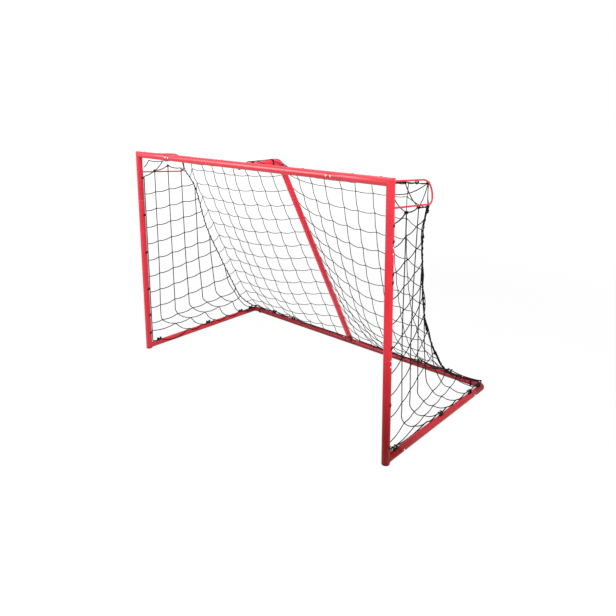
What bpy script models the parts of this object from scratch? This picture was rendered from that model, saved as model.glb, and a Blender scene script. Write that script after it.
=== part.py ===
"""Backyard soccer goal, six feet by four feet.

A frame of round steel tubes that slip into each other and lock with snap buttons,
two wire hoops that hold the net off the top corners, and a knotted square-mesh net.

Frame: +X to the right as a player faces the mouth, +Y towards the back, +Z up.
The origin is on the ground, at the middle of the bounding box. Lengths are in metres.
"""
import bpy
import bmesh
import math
from mathutils import Matrix, Vector

# Overall sizes
WIDTH = 1.830               # over the outsides of the two posts
HEIGHT = 1.220              # ground to the top of the crossbar
DEPTH = 0.915               # front of the posts to the back of the back bar

# Tubes
MAIN_DIAMETER = 0.036       # crossbar, top corners and posts
BASE_DIAMETER = 0.032       # side bars, back bar and centre stay
TUBE_WALL = 0.0015
SLIP = 0.0004               # all round, between a tube and what slides inside it
BUTT_GAP = 0.0006           # between two tube ends that meet
MAIN_SIDES = 24
BASE_SIDES = 20

# Where the tubes join
CORNER_ARM_X = 0.325        # outside of the post to the joint in the crossbar
CORNER_ARM_Z = 0.290        # top of the crossbar to the upper joint in the post
FOOT_LENGTH = 0.455         # ground to the lower joint in the post
COUPLER_LENGTH = 0.090
SWAGE_LENGTH = 0.045        # reduced end that slides inside the next tube
SHOULDER = 0.002            # length over which a tube's end is reduced
FOOT_ARM = 0.095            # post axis to the joint in the side bar
BACK_ARM = 0.095            # back corner to the joints on both sides of it
TEE_HALF = 0.035            # middle of the back bar to the joint on each side
TEE_ARM = 0.060             # middle of the back bar to the foot of the centre stay
SOCKET_ARM = 0.050          # crossbar axis to the head of the centre stay
BACK_BEND = 0.024           # bend radius of the back corners, on the tube's axis
ELBOW_STEPS = 5

# Centre stay
STAY_DROP = 0.005           # stay head's axis below the crossbar's axis
STAY_REACH = 0.275          # post axis to the corner of the stay's bend
STAY_BEND = 0.055           # bend radius on the tube's axis
STAY_STEPS = 8

# Net hoops, bent from wire and welded behind the top corners
WIRE_DIAMETER = 0.008
HOOP_TOP = 0.010            # upper wire below the crossbar's axis
HOOP_HEIGHT = 0.107         # upper wire to lower wire
HOOP_REACH = 0.310          # post axis to the back of the hoop
HOOP_TOP_BEND = 0.075
HOOP_LOW_BEND = 0.026
HOOP_STEPS = 5
WELD_GAP = 0.0003

# Snap buttons
BUTTON_RADIUS = 0.0040
BUTTON_PROUD = 0.0030       # above the outside of the tube
BUTTON_DOME = 0.0014        # height of the rounded head
FLANGE_RADIUS = 0.0056
FLANGE_THICKNESS = 0.0013
BUTTON_SPACING = 0.026      # between the two buttons of a coupler
BUTTON_SIDES = 12
HOLE_CLEARANCE = 0.0004

# Plastic end caps under the posts
CAP_LIP = 0.005
CAP_PLUG = 0.014            # part of the cap inside the tube
CAP_ROUND = 0.002
CAP_GAP = 0.0003

# Net
STRAND = 0.0030             # thickness of the mesh strands
ROPE = 0.0060               # thickness of the border ropes
NET_OFFSET = 0.010          # net plane beside the axis of the bar below it
NET_RISE = 0.0085           # lower border rope's middle above the top of the bar
NET_FRONT_GAP = 0.0055      # border rope's middle behind the front tubes
NET_GAP = 0.0012            # from the net to the stay and the hoops
SIDE_COLUMNS, SIDE_TOP_COLUMNS, SIDE_ROWS = 9, 3, 9
BACK_COLUMNS, BACK_ROWS, TOP_ROWS = 14, 9, 3
SIDE_SAG = 0.020            # middle of a side panel, towards the middle of the goal
BACK_SAG = (0.064, 0.066)   # middle of the left and right half of the back panel
BACK_FULLNESS = 0.85        # below 1 the panel falls away from the stay more steeply
TOP_SAG = 0.022
RIDGE_SAG = 0.040
SEAM_SAG_IN = (0.030, 0.100)        # left and right seam, towards the middle of the goal
SEAM_SAG_FORWARD = 0.100    # both seams, towards the mouth
LOW_HANG = 1.2              # above 1 the deepest sag is below half height

# Net hooks on the base bars
HOOK_LENGTH = 0.026         # saddle, along the bar
HOOK_SADDLE = 0.012         # saddle, across the bar
SADDLE_THICKNESS = 0.0045
SADDLE_SKIRT = 0.0018       # how far the saddle's edges reach down the tube
HOOK_WIDTH = 0.007
HOOK_STEM = 0.007
HOOK_HEIGHT = 0.0155        # top of the tube to the top of the hook
HOOK_THICKNESS = 0.003
HOOK_GAP = 0.0003
SIDE_HOOKS = (0.5, 4.5, 7.5, 8.5)   # net columns behind the post
BACK_HOOKS = (4.0, 5.5)             # net columns beside the middle of the back bar

# Radii and places that follow from the sizes above
MAIN_R = MAIN_DIAMETER / 2
BASE_R = BASE_DIAMETER / 2
COUPLER_R = MAIN_R - TUBE_WALL - SLIP
SWAGE_R = BASE_R - TUBE_WALL - SLIP
SWAGE_BORE = SWAGE_R - TUBE_WALL
WIRE_R = WIRE_DIAMETER / 2
POST_X = WIDTH / 2 - MAIN_R
POST_Y = MAIN_R + BUTTON_PROUD / 2 - DEPTH / 2
BACK_Y = POST_Y + DEPTH - MAIN_R - BASE_R
BAR_Z = HEIGHT - MAIN_R
STAY_Z = BAR_Z - STAY_DROP
HOOP_Z = BAR_Z - HOOP_TOP
CROSSBAR_JOINT_X = WIDTH / 2 - CORNER_ARM_X
UPPER_JOINT_Z = HEIGHT - CORNER_ARM_Z
NET_Z = BASE_DIAMETER + NET_RISE

LEFT, RIGHT = -1, 1
SIDE_NAMES = {LEFT: "left", RIGHT: "right"}
X_AXIS, Y_AXIS, Z_AXIS = Vector((1, 0, 0)), Vector((0, 1, 0)), Vector((0, 0, 1))


def clear_scene():
    for obj in list(bpy.data.objects):
        bpy.data.objects.remove(obj, do_unlink=True)


def make_material(name, colour, roughness, metallic):
    material = bpy.data.materials.new(name)
    material.use_nodes = True
    shader = material.node_tree.nodes["Principled BSDF"]
    shader.inputs["Base Color"].default_value = (*colour, 1.0)
    shader.inputs["Roughness"].default_value = roughness
    shader.inputs["Metallic"].default_value = metallic
    material.diffuse_color = (*colour, 1.0)
    return material


def add_object(name, data, material=None):
    obj = bpy.data.objects.new(name, data)
    bpy.context.scene.collection.objects.link(obj)
    if material:
        data.materials.append(material)
    return obj


def mesh_from(bm, name):
    mesh = bpy.data.meshes.new(name)
    bm.to_mesh(mesh)
    bm.free()
    return mesh


def smooth(mesh, angle=math.radians(35)):
    mesh.shade_smooth()
    mesh.set_sharp_from_angle(angle=angle)


def aim(obj, place, direction):
    """Put an object at a place, with its own +Z along a direction."""
    obj.location = place
    obj.rotation_euler = direction.to_track_quat("Z", "Y").to_euler()


def cylinder(name, start, end, radius, sides, material=None):
    bm = bmesh.new()
    bmesh.ops.create_cone(bm, cap_ends=True, segments=sides, radius1=radius, radius2=radius,
                          depth=(end - start).length)
    mesh = mesh_from(bm, name)
    smooth(mesh)
    obj = add_object(name, mesh, material)
    aim(obj, (start + end) / 2, end - start)
    return obj


def combine(target, tool, operation):
    """Join a helper shape to a piece, or cut it away, and keep the helper out of the model."""
    tool.hide_render = True
    tool.display_type = "WIRE"
    modifier = target.modifiers.new(tool.name, "BOOLEAN")
    modifier.operation = operation
    modifier.solver = "EXACT"
    modifier.object = tool


def rounded_path(corners, radii, steps):
    """Points of a path whose inner corners are rounded by arcs of the given radii."""
    points = [corners[0]]
    for before, corner, after, radius in zip(corners, corners[1:], corners[2:], radii):
        to_before = (before - corner).normalized()
        to_after = (after - corner).normalized()
        half_turn = (math.pi - to_before.angle(to_after)) / 2
        centre = corner + (to_before + to_after).normalized() * (radius / math.cos(half_turn))
        first = corner + to_before * (radius * math.tan(half_turn)) - centre
        axis = first.cross(corner - centre).normalized()
        for step in range(steps + 1):
            points.append(centre + Matrix.Rotation(2 * half_turn * step / steps, 3, axis) @ first)
    points.append(corners[-1])
    return points


def swept_tube(name, path, radii, sides, material):
    """A hollow tube along a path: one mitred ring of vertices for each point."""
    bm = bmesh.new()
    heading = (path[1] - path[0]).normalized()
    across = Z_AXIS if abs(heading.x) > 0.9 else X_AXIS
    up = heading.cross(across).normalized()
    spokes = [across * math.cos(a) + up * math.sin(a)
              for a in (2 * math.pi * i / sides for i in range(sides))]
    ring_verts = [bm.verts.new(path[0] + s * radii[0]) for s in spokes]
    ring = [bm.edges.new((a, b)) for a, b in zip(ring_verts, ring_verts[1:] + ring_verts[:1])]
    for index in range(1, len(path)):
        leaving = heading
        if index < len(path) - 1:
            leaving = (path[index + 1] - path[index]).normalized()
        mitre = (heading + leaving).normalized()
        extruded = bmesh.ops.extrude_edge_only(bm, edges=ring)["geom"]
        ring = [g for g in extruded if isinstance(g, bmesh.types.BMEdge)]
        new_verts = {vert for edge in ring for vert in edge.verts}
        ring_verts = [min(new_verts, key=lambda v: (v.co - old.co).length) for old in ring_verts]
        for spoke, vert in zip(spokes, ring_verts):
            spoke = spoke * radii[index]
            vert.co = path[index] + spoke - heading * (spoke.dot(mitre) / heading.dot(mitre))
        turn = heading.rotation_difference(leaving)
        spokes = [turn @ s for s in spokes]
        heading = leaving
    bm.normal_update()
    bm.faces.ensure_lookup_table()
    first = bm.faces[0]
    if first.normal.dot(first.calc_center_median() - path[0]) < 0:
        bmesh.ops.reverse_faces(bm, faces=bm.faces[:])
    mesh = mesh_from(bm, name)
    smooth(mesh)
    obj = add_object(name, mesh, material)
    wall = obj.modifiers.new("wall", "SOLIDIFY")
    wall.thickness = TUBE_WALL
    wall.offset = -1
    wall.use_even_offset = True
    return obj


def straight_tube(name, start, end, radius, sides, material):
    return swept_tube(name, [start, end], [radius, radius], sides, material)


def wire_rod(name, path, radius, material):
    curve = bpy.data.curves.new(name, "CURVE")
    curve.dimensions = "3D"
    curve.bevel_depth = radius
    curve.bevel_resolution = 2
    curve.use_fill_caps = True
    spline = curve.splines.new("POLY")
    spline.points.add(len(path) - 1)
    for point, place in zip(spline.points, path):
        point.co = (*place, 1.0)
    return add_object(name, curve, material)


def turned(name, profile, place, direction, sides, material):
    """Revolve a profile of (radius, height) points, given from its top down, about +Z."""
    mesh = bpy.data.meshes.new(name)
    points = [(radius, 0.0, height) for radius, height in profile]
    mesh.from_pydata(points, [(i, i + 1) for i in range(len(points) - 1)], [])
    obj = add_object(name, mesh, material)
    screw = obj.modifiers.new("turned", "SCREW")
    screw.steps = screw.render_steps = sides
    screw.use_merge_vertices = True
    screw.merge_threshold = 0.00001
    aim(obj, place, direction)
    return obj


def welded_arm(host, label, start, direction, length):
    """A base tube welded to a piece, with a reduced end for the next tube to slide over."""
    end = start + direction * length
    tip = end + direction * SWAGE_LENGTH
    combine(host, cylinder(label + "_arm", start, end, BASE_R, BASE_SIDES), "UNION")
    combine(host, cylinder(label + "_swage", start, tip, SWAGE_R, BASE_SIDES), "UNION")
    beyond = tip + direction * SWAGE_LENGTH
    return cylinder(label + "_bore", start, beyond, SWAGE_BORE, BASE_SIDES)


def snap_button(name, centre, direction, tube_radius, inner_bore, hosts, material):
    """A button on a spring inside a joint, and its hole through every wall of the joint."""
    flange_top = math.sqrt(inner_bore ** 2 - FLANGE_RADIUS ** 2) - SLIP
    top = tube_radius + BUTTON_PROUD
    rim = top - BUTTON_DOME
    profile = [(0.0, top), (BUTTON_RADIUS * 0.55, top - BUTTON_DOME * 0.2), (BUTTON_RADIUS, rim),
               (BUTTON_RADIUS, flange_top), (FLANGE_RADIUS, flange_top),
               (FLANGE_RADIUS, flange_top - FLANGE_THICKNESS), (0.0, flange_top - FLANGE_THICKNESS)]
    turned(name, profile, centre, direction, BUTTON_SIDES, material)
    hole = cylinder(name + "_hole", centre, centre + direction * (top + BUTTON_PROUD),
                    BUTTON_RADIUS + HOLE_CLEARANCE, BUTTON_SIDES)
    for host in hosts:
        combine(host, hole, "DIFFERENCE")


def coupler(name, centre, axis, material):
    half = axis * (COUPLER_LENGTH / 2)
    return straight_tube(name, centre - half, centre + half, COUPLER_R, MAIN_SIDES, material)


def coupled_joint(label, centre, axis, facing, hosts, materials):
    """A sleeve inside two butting main tubes, with one snap button through each of them.

    hosts are the tube on the far side of the joint along the axis, then the near one.
    """
    sleeve = coupler(label + "_coupler", centre, axis, materials["steel"])
    for word, sign, host in (("outer", 1, hosts[0]), ("inner", -1, hosts[1])):
        place = centre + axis * (sign * BUTTON_SPACING / 2)
        snap_button(label + "_button_" + word, place, facing, MAIN_R, COUPLER_R - TUBE_WALL,
                    [host, sleeve], materials["button"])


def make_crossbar(materials):
    half = CROSSBAR_JOINT_X - BUTT_GAP / 2
    bar = cylinder("crossbar", Vector((-half, POST_Y, BAR_Z)), Vector((half, POST_Y, BAR_Z)),
                   MAIN_R, MAIN_SIDES, materials["red"])
    arm_bore = welded_arm(bar, "crossbar", Vector((0, POST_Y, STAY_Z)), Y_AXIS, SOCKET_ARM)
    reach = half + SWAGE_LENGTH
    bore = cylinder("crossbar_bore", Vector((-reach, POST_Y, BAR_Z)), Vector((reach, POST_Y, BAR_Z)),
                    MAIN_R - TUBE_WALL, MAIN_SIDES)
    combine(bar, bore, "DIFFERENCE")
    combine(bar, arm_bore, "DIFFERENCE")
    return bar


def make_top_corner(side, materials):
    path = [Vector((side * (CROSSBAR_JOINT_X + BUTT_GAP / 2), POST_Y, BAR_Z)),
            Vector((side * POST_X, POST_Y, BAR_Z)),
            Vector((side * POST_X, POST_Y, UPPER_JOINT_Z + BUTT_GAP / 2))]
    return swept_tube("top_corner_" + SIDE_NAMES[side], path, [MAIN_R] * 3, MAIN_SIDES,
                      materials["red"])


def make_post(side, materials):
    start = Vector((side * POST_X, POST_Y, FOOT_LENGTH + BUTT_GAP / 2))
    end = Vector((side * POST_X, POST_Y, UPPER_JOINT_Z - BUTT_GAP / 2))
    return straight_tube("post_" + SIDE_NAMES[side], start, end, MAIN_R, MAIN_SIDES,
                         materials["red"])


def make_foot(side, materials):
    """Lower end of a post, with the arm that the side bar slides over."""
    name = "post_foot_" + SIDE_NAMES[side]
    axis_x, low = side * POST_X, CAP_LIP + CAP_GAP
    foot = cylinder(name, Vector((axis_x, POST_Y, low)),
                    Vector((axis_x, POST_Y, FOOT_LENGTH - BUTT_GAP / 2)), MAIN_R, MAIN_SIDES,
                    materials["red"])
    arm_bore = welded_arm(foot, name, Vector((axis_x, POST_Y, BASE_R)), Y_AXIS, FOOT_ARM)
    room_for_cap = cylinder(name + "_cap_room", Vector((axis_x, POST_Y, -CAP_LIP)),
                            Vector((axis_x, POST_Y, low)), MAIN_R + CAP_GAP, MAIN_SIDES)
    bore = cylinder(name + "_bore_up", Vector((axis_x, POST_Y, -CAP_LIP * 2)),
                    Vector((axis_x, POST_Y, FOOT_LENGTH + CAP_LIP)), MAIN_R - TUBE_WALL,
                    MAIN_SIDES)
    combine(foot, room_for_cap, "DIFFERENCE")
    combine(foot, bore, "DIFFERENCE")
    combine(foot, arm_bore, "DIFFERENCE")
    return foot


def make_cap(side, materials):
    plug_radius = MAIN_R - TUBE_WALL - SLIP
    profile = [(0.0, CAP_LIP + CAP_PLUG), (plug_radius, CAP_LIP + CAP_PLUG),
               (plug_radius, CAP_LIP), (MAIN_R, CAP_LIP), (MAIN_R, CAP_ROUND),
               (MAIN_R - CAP_ROUND * 0.3, CAP_ROUND * 0.3), (MAIN_R - CAP_ROUND, 0.0), (0.0, 0.0)]
    turned("post_cap_" + SIDE_NAMES[side], profile, Vector((side * POST_X, POST_Y, 0)), Z_AXIS,
           MAIN_SIDES, materials["plastic"])


def make_side_bar(side, materials):
    axis_x = side * POST_X
    start = Vector((axis_x, POST_Y + FOOT_ARM + BUTT_GAP, BASE_R))
    end = Vector((axis_x, BACK_Y - BACK_ARM - BUTT_GAP, BASE_R))
    return straight_tube("side_bar_" + SIDE_NAMES[side], start, end, BASE_R, BASE_SIDES,
                         materials["red"])


def make_back_corner(side, materials):
    """A bent tube whose two ends are reduced to slide into the side bar and the back bar."""
    corner = Vector((side * POST_X, BACK_Y, BASE_R))
    forward, inward = -Y_AXIS, X_AXIS * -side

    def end_points(direction):
        return [corner + direction * (BACK_ARM + SWAGE_LENGTH), corner + direction * BACK_ARM,
                corner + direction * (BACK_ARM - SHOULDER)]

    front_end, back_end = end_points(forward), end_points(inward)
    bend = rounded_path([front_end[-1], corner, back_end[-1]], [BACK_BEND], ELBOW_STEPS)
    path = front_end[:-1] + bend + back_end[-2::-1]
    radii = [SWAGE_R] * 2 + [BASE_R] * len(bend) + [SWAGE_R] * 2
    return swept_tube("back_corner_" + SIDE_NAMES[side], path, radii, BASE_SIDES,
                      materials["red"])


def make_back_bar(side, materials):
    start = Vector((side * (TEE_HALF + BUTT_GAP), BACK_Y, BASE_R))
    end = Vector((side * (POST_X - BACK_ARM - BUTT_GAP), BACK_Y, BASE_R))
    return straight_tube("back_bar_" + SIDE_NAMES[side], start, end, BASE_R, BASE_SIDES,
                         materials["red"])


def stay_line():
    """Corner of the stay's bend, middle of the back bar, and the direction between them."""
    corner = Vector((0, POST_Y + STAY_REACH, STAY_Z))
    foot = Vector((0, BACK_Y, BASE_R))
    return corner, foot, (foot - corner).normalized()


def make_tee(materials):
    _, middle, down = stay_line()
    half = X_AXIS * TEE_HALF
    tee = cylinder("back_tee", middle - half, middle + half, BASE_R, BASE_SIDES, materials["red"])
    tip = X_AXIS * (TEE_HALF + SWAGE_LENGTH)
    combine(tee, cylinder("tee_swage", middle - tip, middle + tip, SWAGE_R, BASE_SIDES), "UNION")
    arm_bore = welded_arm(tee, "tee", middle, -down, TEE_ARM)
    beyond = tip * 1.2
    combine(tee, cylinder("tee_bore", middle - beyond, middle + beyond, SWAGE_BORE, BASE_SIDES),
            "DIFFERENCE")
    combine(tee, arm_bore, "DIFFERENCE")
    return tee


def make_stay(materials):
    corner, middle, down = stay_line()
    head = Vector((0, POST_Y + SOCKET_ARM + BUTT_GAP, STAY_Z))
    foot = middle - down * (TEE_ARM + BUTT_GAP)
    path = rounded_path([head, corner, foot], [STAY_BEND], STAY_STEPS)
    return swept_tube("centre_stay", path, [BASE_R] * len(path), BASE_SIDES, materials["red"])


def hoop_corners(side):
    """Corners of a hoop before its bends are rounded, from the top wire to the lower one."""
    axis_x = side * POST_X
    front = POST_Y + MAIN_R + WELD_GAP
    back = POST_Y + HOOP_REACH
    return [Vector((axis_x, front, HOOP_Z)), Vector((axis_x, back, HOOP_Z)),
            Vector((axis_x, back, HOOP_Z - HOOP_HEIGHT)),
            Vector((axis_x, front, HOOP_Z - HOOP_HEIGHT))]


def make_hoop(side, materials):
    path = rounded_path(hoop_corners(side), [HOOP_TOP_BEND, HOOP_LOW_BEND], HOOP_STEPS)
    wire_rod("net_hoop_" + SIDE_NAMES[side], path, WIRE_R, materials["red"])


def ridge(across):
    """A point of the line where the net turns from its top to its back.

    across runs from -1 to 1 over the goal's width.
    """
    corner, _, down = stay_line()
    outward = (Z_AXIS + Vector((0, -down.z, down.y))).normalized()
    over_stay = corner + outward * ((BASE_R + STRAND / 2 + NET_GAP) / outward.z)
    hoop_bend = Vector((0, POST_Y + HOOP_REACH - HOOP_TOP_BEND, HOOP_Z - HOOP_TOP_BEND))
    over_hoop = hoop_bend + outward * (HOOP_TOP_BEND + WIRE_R + ROPE / 2 + NET_GAP)
    share = abs(across)
    point = over_stay.lerp(over_hoop, share) - Z_AXIS * (RIDGE_SAG * 4 * share * (1 - share))
    point.x = across * (POST_X - NET_OFFSET)
    return point


def top_net_point(across, along):
    """along runs from the crossbar, 0, to the ridge, 1."""
    share = abs(across)
    middle_z = STAY_Z + BASE_R + ROPE / 2 + NET_GAP
    front = Vector((across * (POST_X - NET_OFFSET), POST_Y + MAIN_R + NET_FRONT_GAP,
                    middle_z + (BAR_Z - middle_z) * share))
    fall = TOP_SAG * 4 * share * (1 - share) * math.sin(math.pi * along)
    return front.lerp(ridge(across), along) - Z_AXIS * fall


def side_net_top():
    return HOOP_Z - HOOP_HEIGHT - WIRE_R - ROPE / 2 - NET_GAP


def hang(down):
    """Share of its full sag that slack twine has at a share of its way down."""
    return math.sin(math.pi * min(max(down, 0), 1) ** LOW_HANG)


def seam_sag(side, up):
    """How far a seam hangs inwards and forwards at a share of its height."""
    slack = hang(1 - up)
    return SEAM_SAG_IN[0 if side == LEFT else 1] * slack, SEAM_SAG_FORWARD * slack


def stay_standoff():
    """Height of the net above the stay's axis at which the rows falling to its sides clear it."""
    share = 2 / BACK_COLUMNS
    fall = max(BACK_SAG) * (4 * share * (1 - share)) ** BACK_FULLNESS
    fall += SEAM_SAG_FORWARD * share
    slope = fall / (share * (POST_X - NET_OFFSET))
    return (BASE_R + STRAND / 2 + NET_GAP) * math.hypot(1, slope)


def back_net_point(across, along):
    """along runs from the ridge, 0, to the back bar, 1."""
    share = abs(across)
    corner, _, down = stay_line()
    outward = Vector((0, -down.z, down.y))
    end = Vector((0, BACK_Y + NET_OFFSET, NET_Z))
    inward = 0
    if along in (0, 1):
        point = end if along else ridge(across)
    else:
        middle = corner + down * ((end - corner).dot(down) * along)
        middle += outward * stay_standoff()
        up = (1 - along) * BACK_ROWS / (BACK_ROWS - 1)
        inward, forward = seam_sag(math.copysign(1, across), up)
        seam_top = Vector((0, POST_Y + HOOP_REACH + NET_OFFSET, side_net_top()))
        edge = end.lerp(seam_top, up) - Y_AXIS * forward
        across_sag = (4 * share * (1 - share)) ** BACK_FULLNESS
        sag = BACK_SAG[0 if across < 0 else 1] * across_sag * hang(along)
        point = middle.lerp(edge, share) - outward * sag
    point.x = across * (POST_X - NET_OFFSET - inward)
    return point


def sheet_point(column, row):
    """Columns count from the left and rows from the back bar, over the ridge, to the crossbar."""
    across = 2 * column / BACK_COLUMNS - 1
    if row <= BACK_ROWS:
        return back_net_point(across, 1 - row / BACK_ROWS)
    return top_net_point(across, 1 - (row - BACK_ROWS) / TOP_ROWS)


def side_net_point(side, column, row):
    """Columns count from the post and rows from the ground. The seam cuts the columns off."""
    up = row / SIDE_ROWS
    back = column / (SIDE_COLUMNS + (SIDE_TOP_COLUMNS - SIDE_COLUMNS) * up)
    inward, forward = seam_sag(side, up)
    front = POST_Y + MAIN_R + NET_FRONT_GAP
    seam_y = BACK_Y + (POST_Y + HOOP_REACH - BACK_Y) * up - forward
    sag = inward * back + SIDE_SAG * math.sin(math.pi * min(back, 1)) * math.sin(math.pi * up)
    return Vector((side * (POST_X - NET_OFFSET - sag), front + (seam_y - front) * back,
                   NET_Z + (side_net_top() - NET_Z) * up))


def net_panel(name, columns, rows, seam, place, material):
    """A sheet of square meshes: a grid, cut along its seam, draped and turned into strands."""
    bm = bmesh.new()
    bmesh.ops.create_grid(bm, x_segments=columns, y_segments=rows, size=0.5)
    for vert in bm.verts:
        vert.co = Vector(((vert.co.x + 0.5) * columns, (vert.co.y + 0.5) * rows, 0))
    if seam:
        low, high = seam
        along = (high - low).normalized()
        bmesh.ops.bisect_plane(bm, geom=bm.verts[:] + bm.edges[:] + bm.faces[:], dist=0.001,
                               plane_co=low, plane_no=Vector((along.y, -along.x, 0)),
                               clear_outer=True)
    bm.verts.index_update()
    border = [v.index for v in bm.verts if v.is_boundary]
    for vert in bm.verts:
        vert.co = place(vert.co.x, vert.co.y)
    obj = add_object(name, mesh_from(bm, name), material)
    group = obj.vertex_groups.new(name="rope")
    group.add(border, 1.0, "REPLACE")
    strands = obj.modifiers.new("strands", "WIREFRAME")
    strands.thickness = ROPE
    strands.vertex_group = group.name
    strands.thickness_vertex_group = STRAND / ROPE
    strands.use_boundary = True
    strands.use_even_offset = True
    strands.use_relative_offset = False
    strands.use_replace = True
    strands.offset = 0
    return obj


def make_net(materials):
    twine = materials["twine"]
    net_panel("net_back", BACK_COLUMNS, BACK_ROWS + TOP_ROWS, None, sheet_point, twine)
    seam = (Vector((SIDE_COLUMNS, 0, 0)), Vector((SIDE_TOP_COLUMNS, SIDE_ROWS, 0)))
    for side in (LEFT, RIGHT):
        net_panel("net_" + SIDE_NAMES[side], SIDE_COLUMNS, SIDE_ROWS, seam,
                  lambda c, r, s=side: side_net_point(s, c, r), twine)


def hook_mesh():
    """One net hook: a saddle on the bar and two hooks that hold the border rope down.

    The bar runs along Y, its top is at the origin, and the rope lies on the -X side.
    """
    bm = bmesh.new()
    bmesh.ops.create_cube(bm, size=1)
    tall = SADDLE_THICKNESS + SADDLE_SKIRT
    for vert in bm.verts:
        vert.co = Vector((vert.co.x * HOOK_SADDLE, vert.co.y * HOOK_LENGTH,
                          vert.co.z * tall + SADDLE_THICKNESS - tall / 2))
    saddle = add_object("saddle", mesh_from(bm, "saddle"))
    bar_axis = Vector((0, 0, -BASE_R))
    bar = cylinder("bar_room", bar_axis - Y_AXIS * HOOK_LENGTH, bar_axis + Y_AXIS * HOOK_LENGTH,
                   BASE_R + HOOK_GAP, BASE_SIDES)
    combine(saddle, bar, "DIFFERENCE")
    half_stem = HOOK_STEM / 2
    tip = NET_OFFSET + ROPE / 2
    under = HOOK_HEIGHT - HOOK_THICKNESS
    outline = [(half_stem, SADDLE_THICKNESS / 2), (half_stem, under), (half_stem / 2, HOOK_HEIGHT),
               (-tip, HOOK_HEIGHT), (-tip - HOOK_THICKNESS / 3, under),
               (-tip + HOOK_THICKNESS / 2, under), (-half_stem, under),
               (-half_stem, SADDLE_THICKNESS / 2)]
    helpers = [saddle, bar]
    for end in (-1, 1):
        bm = bmesh.new()
        near = end * (HOOK_LENGTH - HOOK_WIDTH) / 2 - HOOK_WIDTH / 2 - end * HOOK_GAP
        face = bm.faces.new([bm.verts.new((x, near, z)) for x, z in outline])
        grown = bmesh.ops.extrude_face_region(bm, geom=[face])["geom"]
        moved = [g for g in grown if isinstance(g, bmesh.types.BMVert)]
        bmesh.ops.translate(bm, verts=moved, vec=Y_AXIS * HOOK_WIDTH)
        bmesh.ops.recalc_face_normals(bm, faces=bm.faces[:])
        claw = add_object("claw", mesh_from(bm, "claw"))
        helpers.append(claw)
        combine(saddle, claw, "UNION")
    bpy.context.view_layer.update()
    finished = saddle.evaluated_get(bpy.context.evaluated_depsgraph_get())
    mesh = bpy.data.meshes.new_from_object(finished)
    for helper in helpers:
        bpy.data.objects.remove(helper, do_unlink=True)
    return mesh


def make_hooks(materials):
    mesh = hook_mesh()
    mesh.materials.clear()
    mesh.materials.append(materials["plastic"])
    for side in (LEFT, RIGHT):
        for number, column in enumerate(SIDE_HOOKS, 1):
            hook = add_object(f"net_hook_{SIDE_NAMES[side]}_{number}", mesh)
            hook.location = (side * POST_X, side_net_point(side, column, 0).y, BASE_DIAMETER)
            hook.rotation_euler = (0, 0, 0 if side == RIGHT else math.pi)
        for number, column in enumerate(BACK_HOOKS, 1):
            hook = add_object(f"net_hook_back_{SIDE_NAMES[side]}_{number}", mesh)
            beside = sheet_point(BACK_COLUMNS / 2 + column, 0).x
            hook.location = (side * beside, BACK_Y, BASE_DIAMETER)
            hook.rotation_euler = (0, 0, -math.pi / 2)


def make_base_buttons(feet, bars, corners, back_bars, tee, materials):
    for side in (LEFT, RIGHT):
        name, out = SIDE_NAMES[side], X_AXIS * side
        half_swage = SWAGE_LENGTH / 2
        places = [
            ("side_front_button_", Vector((side * POST_X, POST_Y + FOOT_ARM + half_swage, BASE_R)),
             out, [bars[side], feet[side]]),
            ("side_back_button_", Vector((side * POST_X, BACK_Y - BACK_ARM - half_swage, BASE_R)),
             out, [bars[side], corners[side]]),
            ("back_corner_button_",
             Vector((side * (POST_X - BACK_ARM - half_swage), BACK_Y, BASE_R)), Z_AXIS,
             [back_bars[side], corners[side]]),
            ("back_tee_button_", Vector((side * (TEE_HALF + half_swage), BACK_Y, BASE_R)), Z_AXIS,
             [back_bars[side], tee]),
        ]
        for label, place, facing, hosts in places:
            snap_button(label + name, place, facing, BASE_R, SWAGE_BORE, hosts,
                        materials["button"])


def main():
    clear_scene()
    materials = {
        "red": make_material("red_powder_coat", (0.78, 0.03, 0.05), 0.35, 0.0),
        "steel": make_material("zinc_plated_steel", (0.62, 0.63, 0.65), 0.35, 1.0),
        "button": make_material("bright_button_steel", (0.75, 0.72, 0.72), 0.25, 1.0),
        "plastic": make_material("black_plastic", (0.02, 0.02, 0.022), 0.5, 0.0),
        "twine": make_material("black_twine", (0.02, 0.02, 0.02), 0.8, 0.0),
    }
    crossbar = make_crossbar(materials)
    feet, bars, corners, back_bars = {}, {}, {}, {}
    tee = make_tee(materials)
    for side in (LEFT, RIGHT):
        name, out = SIDE_NAMES[side], X_AXIS * side
        top = make_top_corner(side, materials)
        post = make_post(side, materials)
        feet[side] = make_foot(side, materials)
        bars[side] = make_side_bar(side, materials)
        corners[side] = make_back_corner(side, materials)
        back_bars[side] = make_back_bar(side, materials)
        make_cap(side, materials)
        make_hoop(side, materials)
        coupled_joint("crossbar_" + name, Vector((side * CROSSBAR_JOINT_X, POST_Y, BAR_Z)), out,
                      -Y_AXIS, (top, crossbar), materials)
        coupled_joint("post_upper_" + name, Vector((side * POST_X, POST_Y, UPPER_JOINT_Z)), Z_AXIS,
                      out, (top, post), materials)
        coupled_joint("post_lower_" + name, Vector((side * POST_X, POST_Y, FOOT_LENGTH)), -Z_AXIS,
                      out, (feet[side], post), materials)
    make_stay(materials)
    make_base_buttons(feet, bars, corners, back_bars, tee, materials)
    make_hooks(materials)
    make_net(materials)


main()
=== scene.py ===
import math

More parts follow.
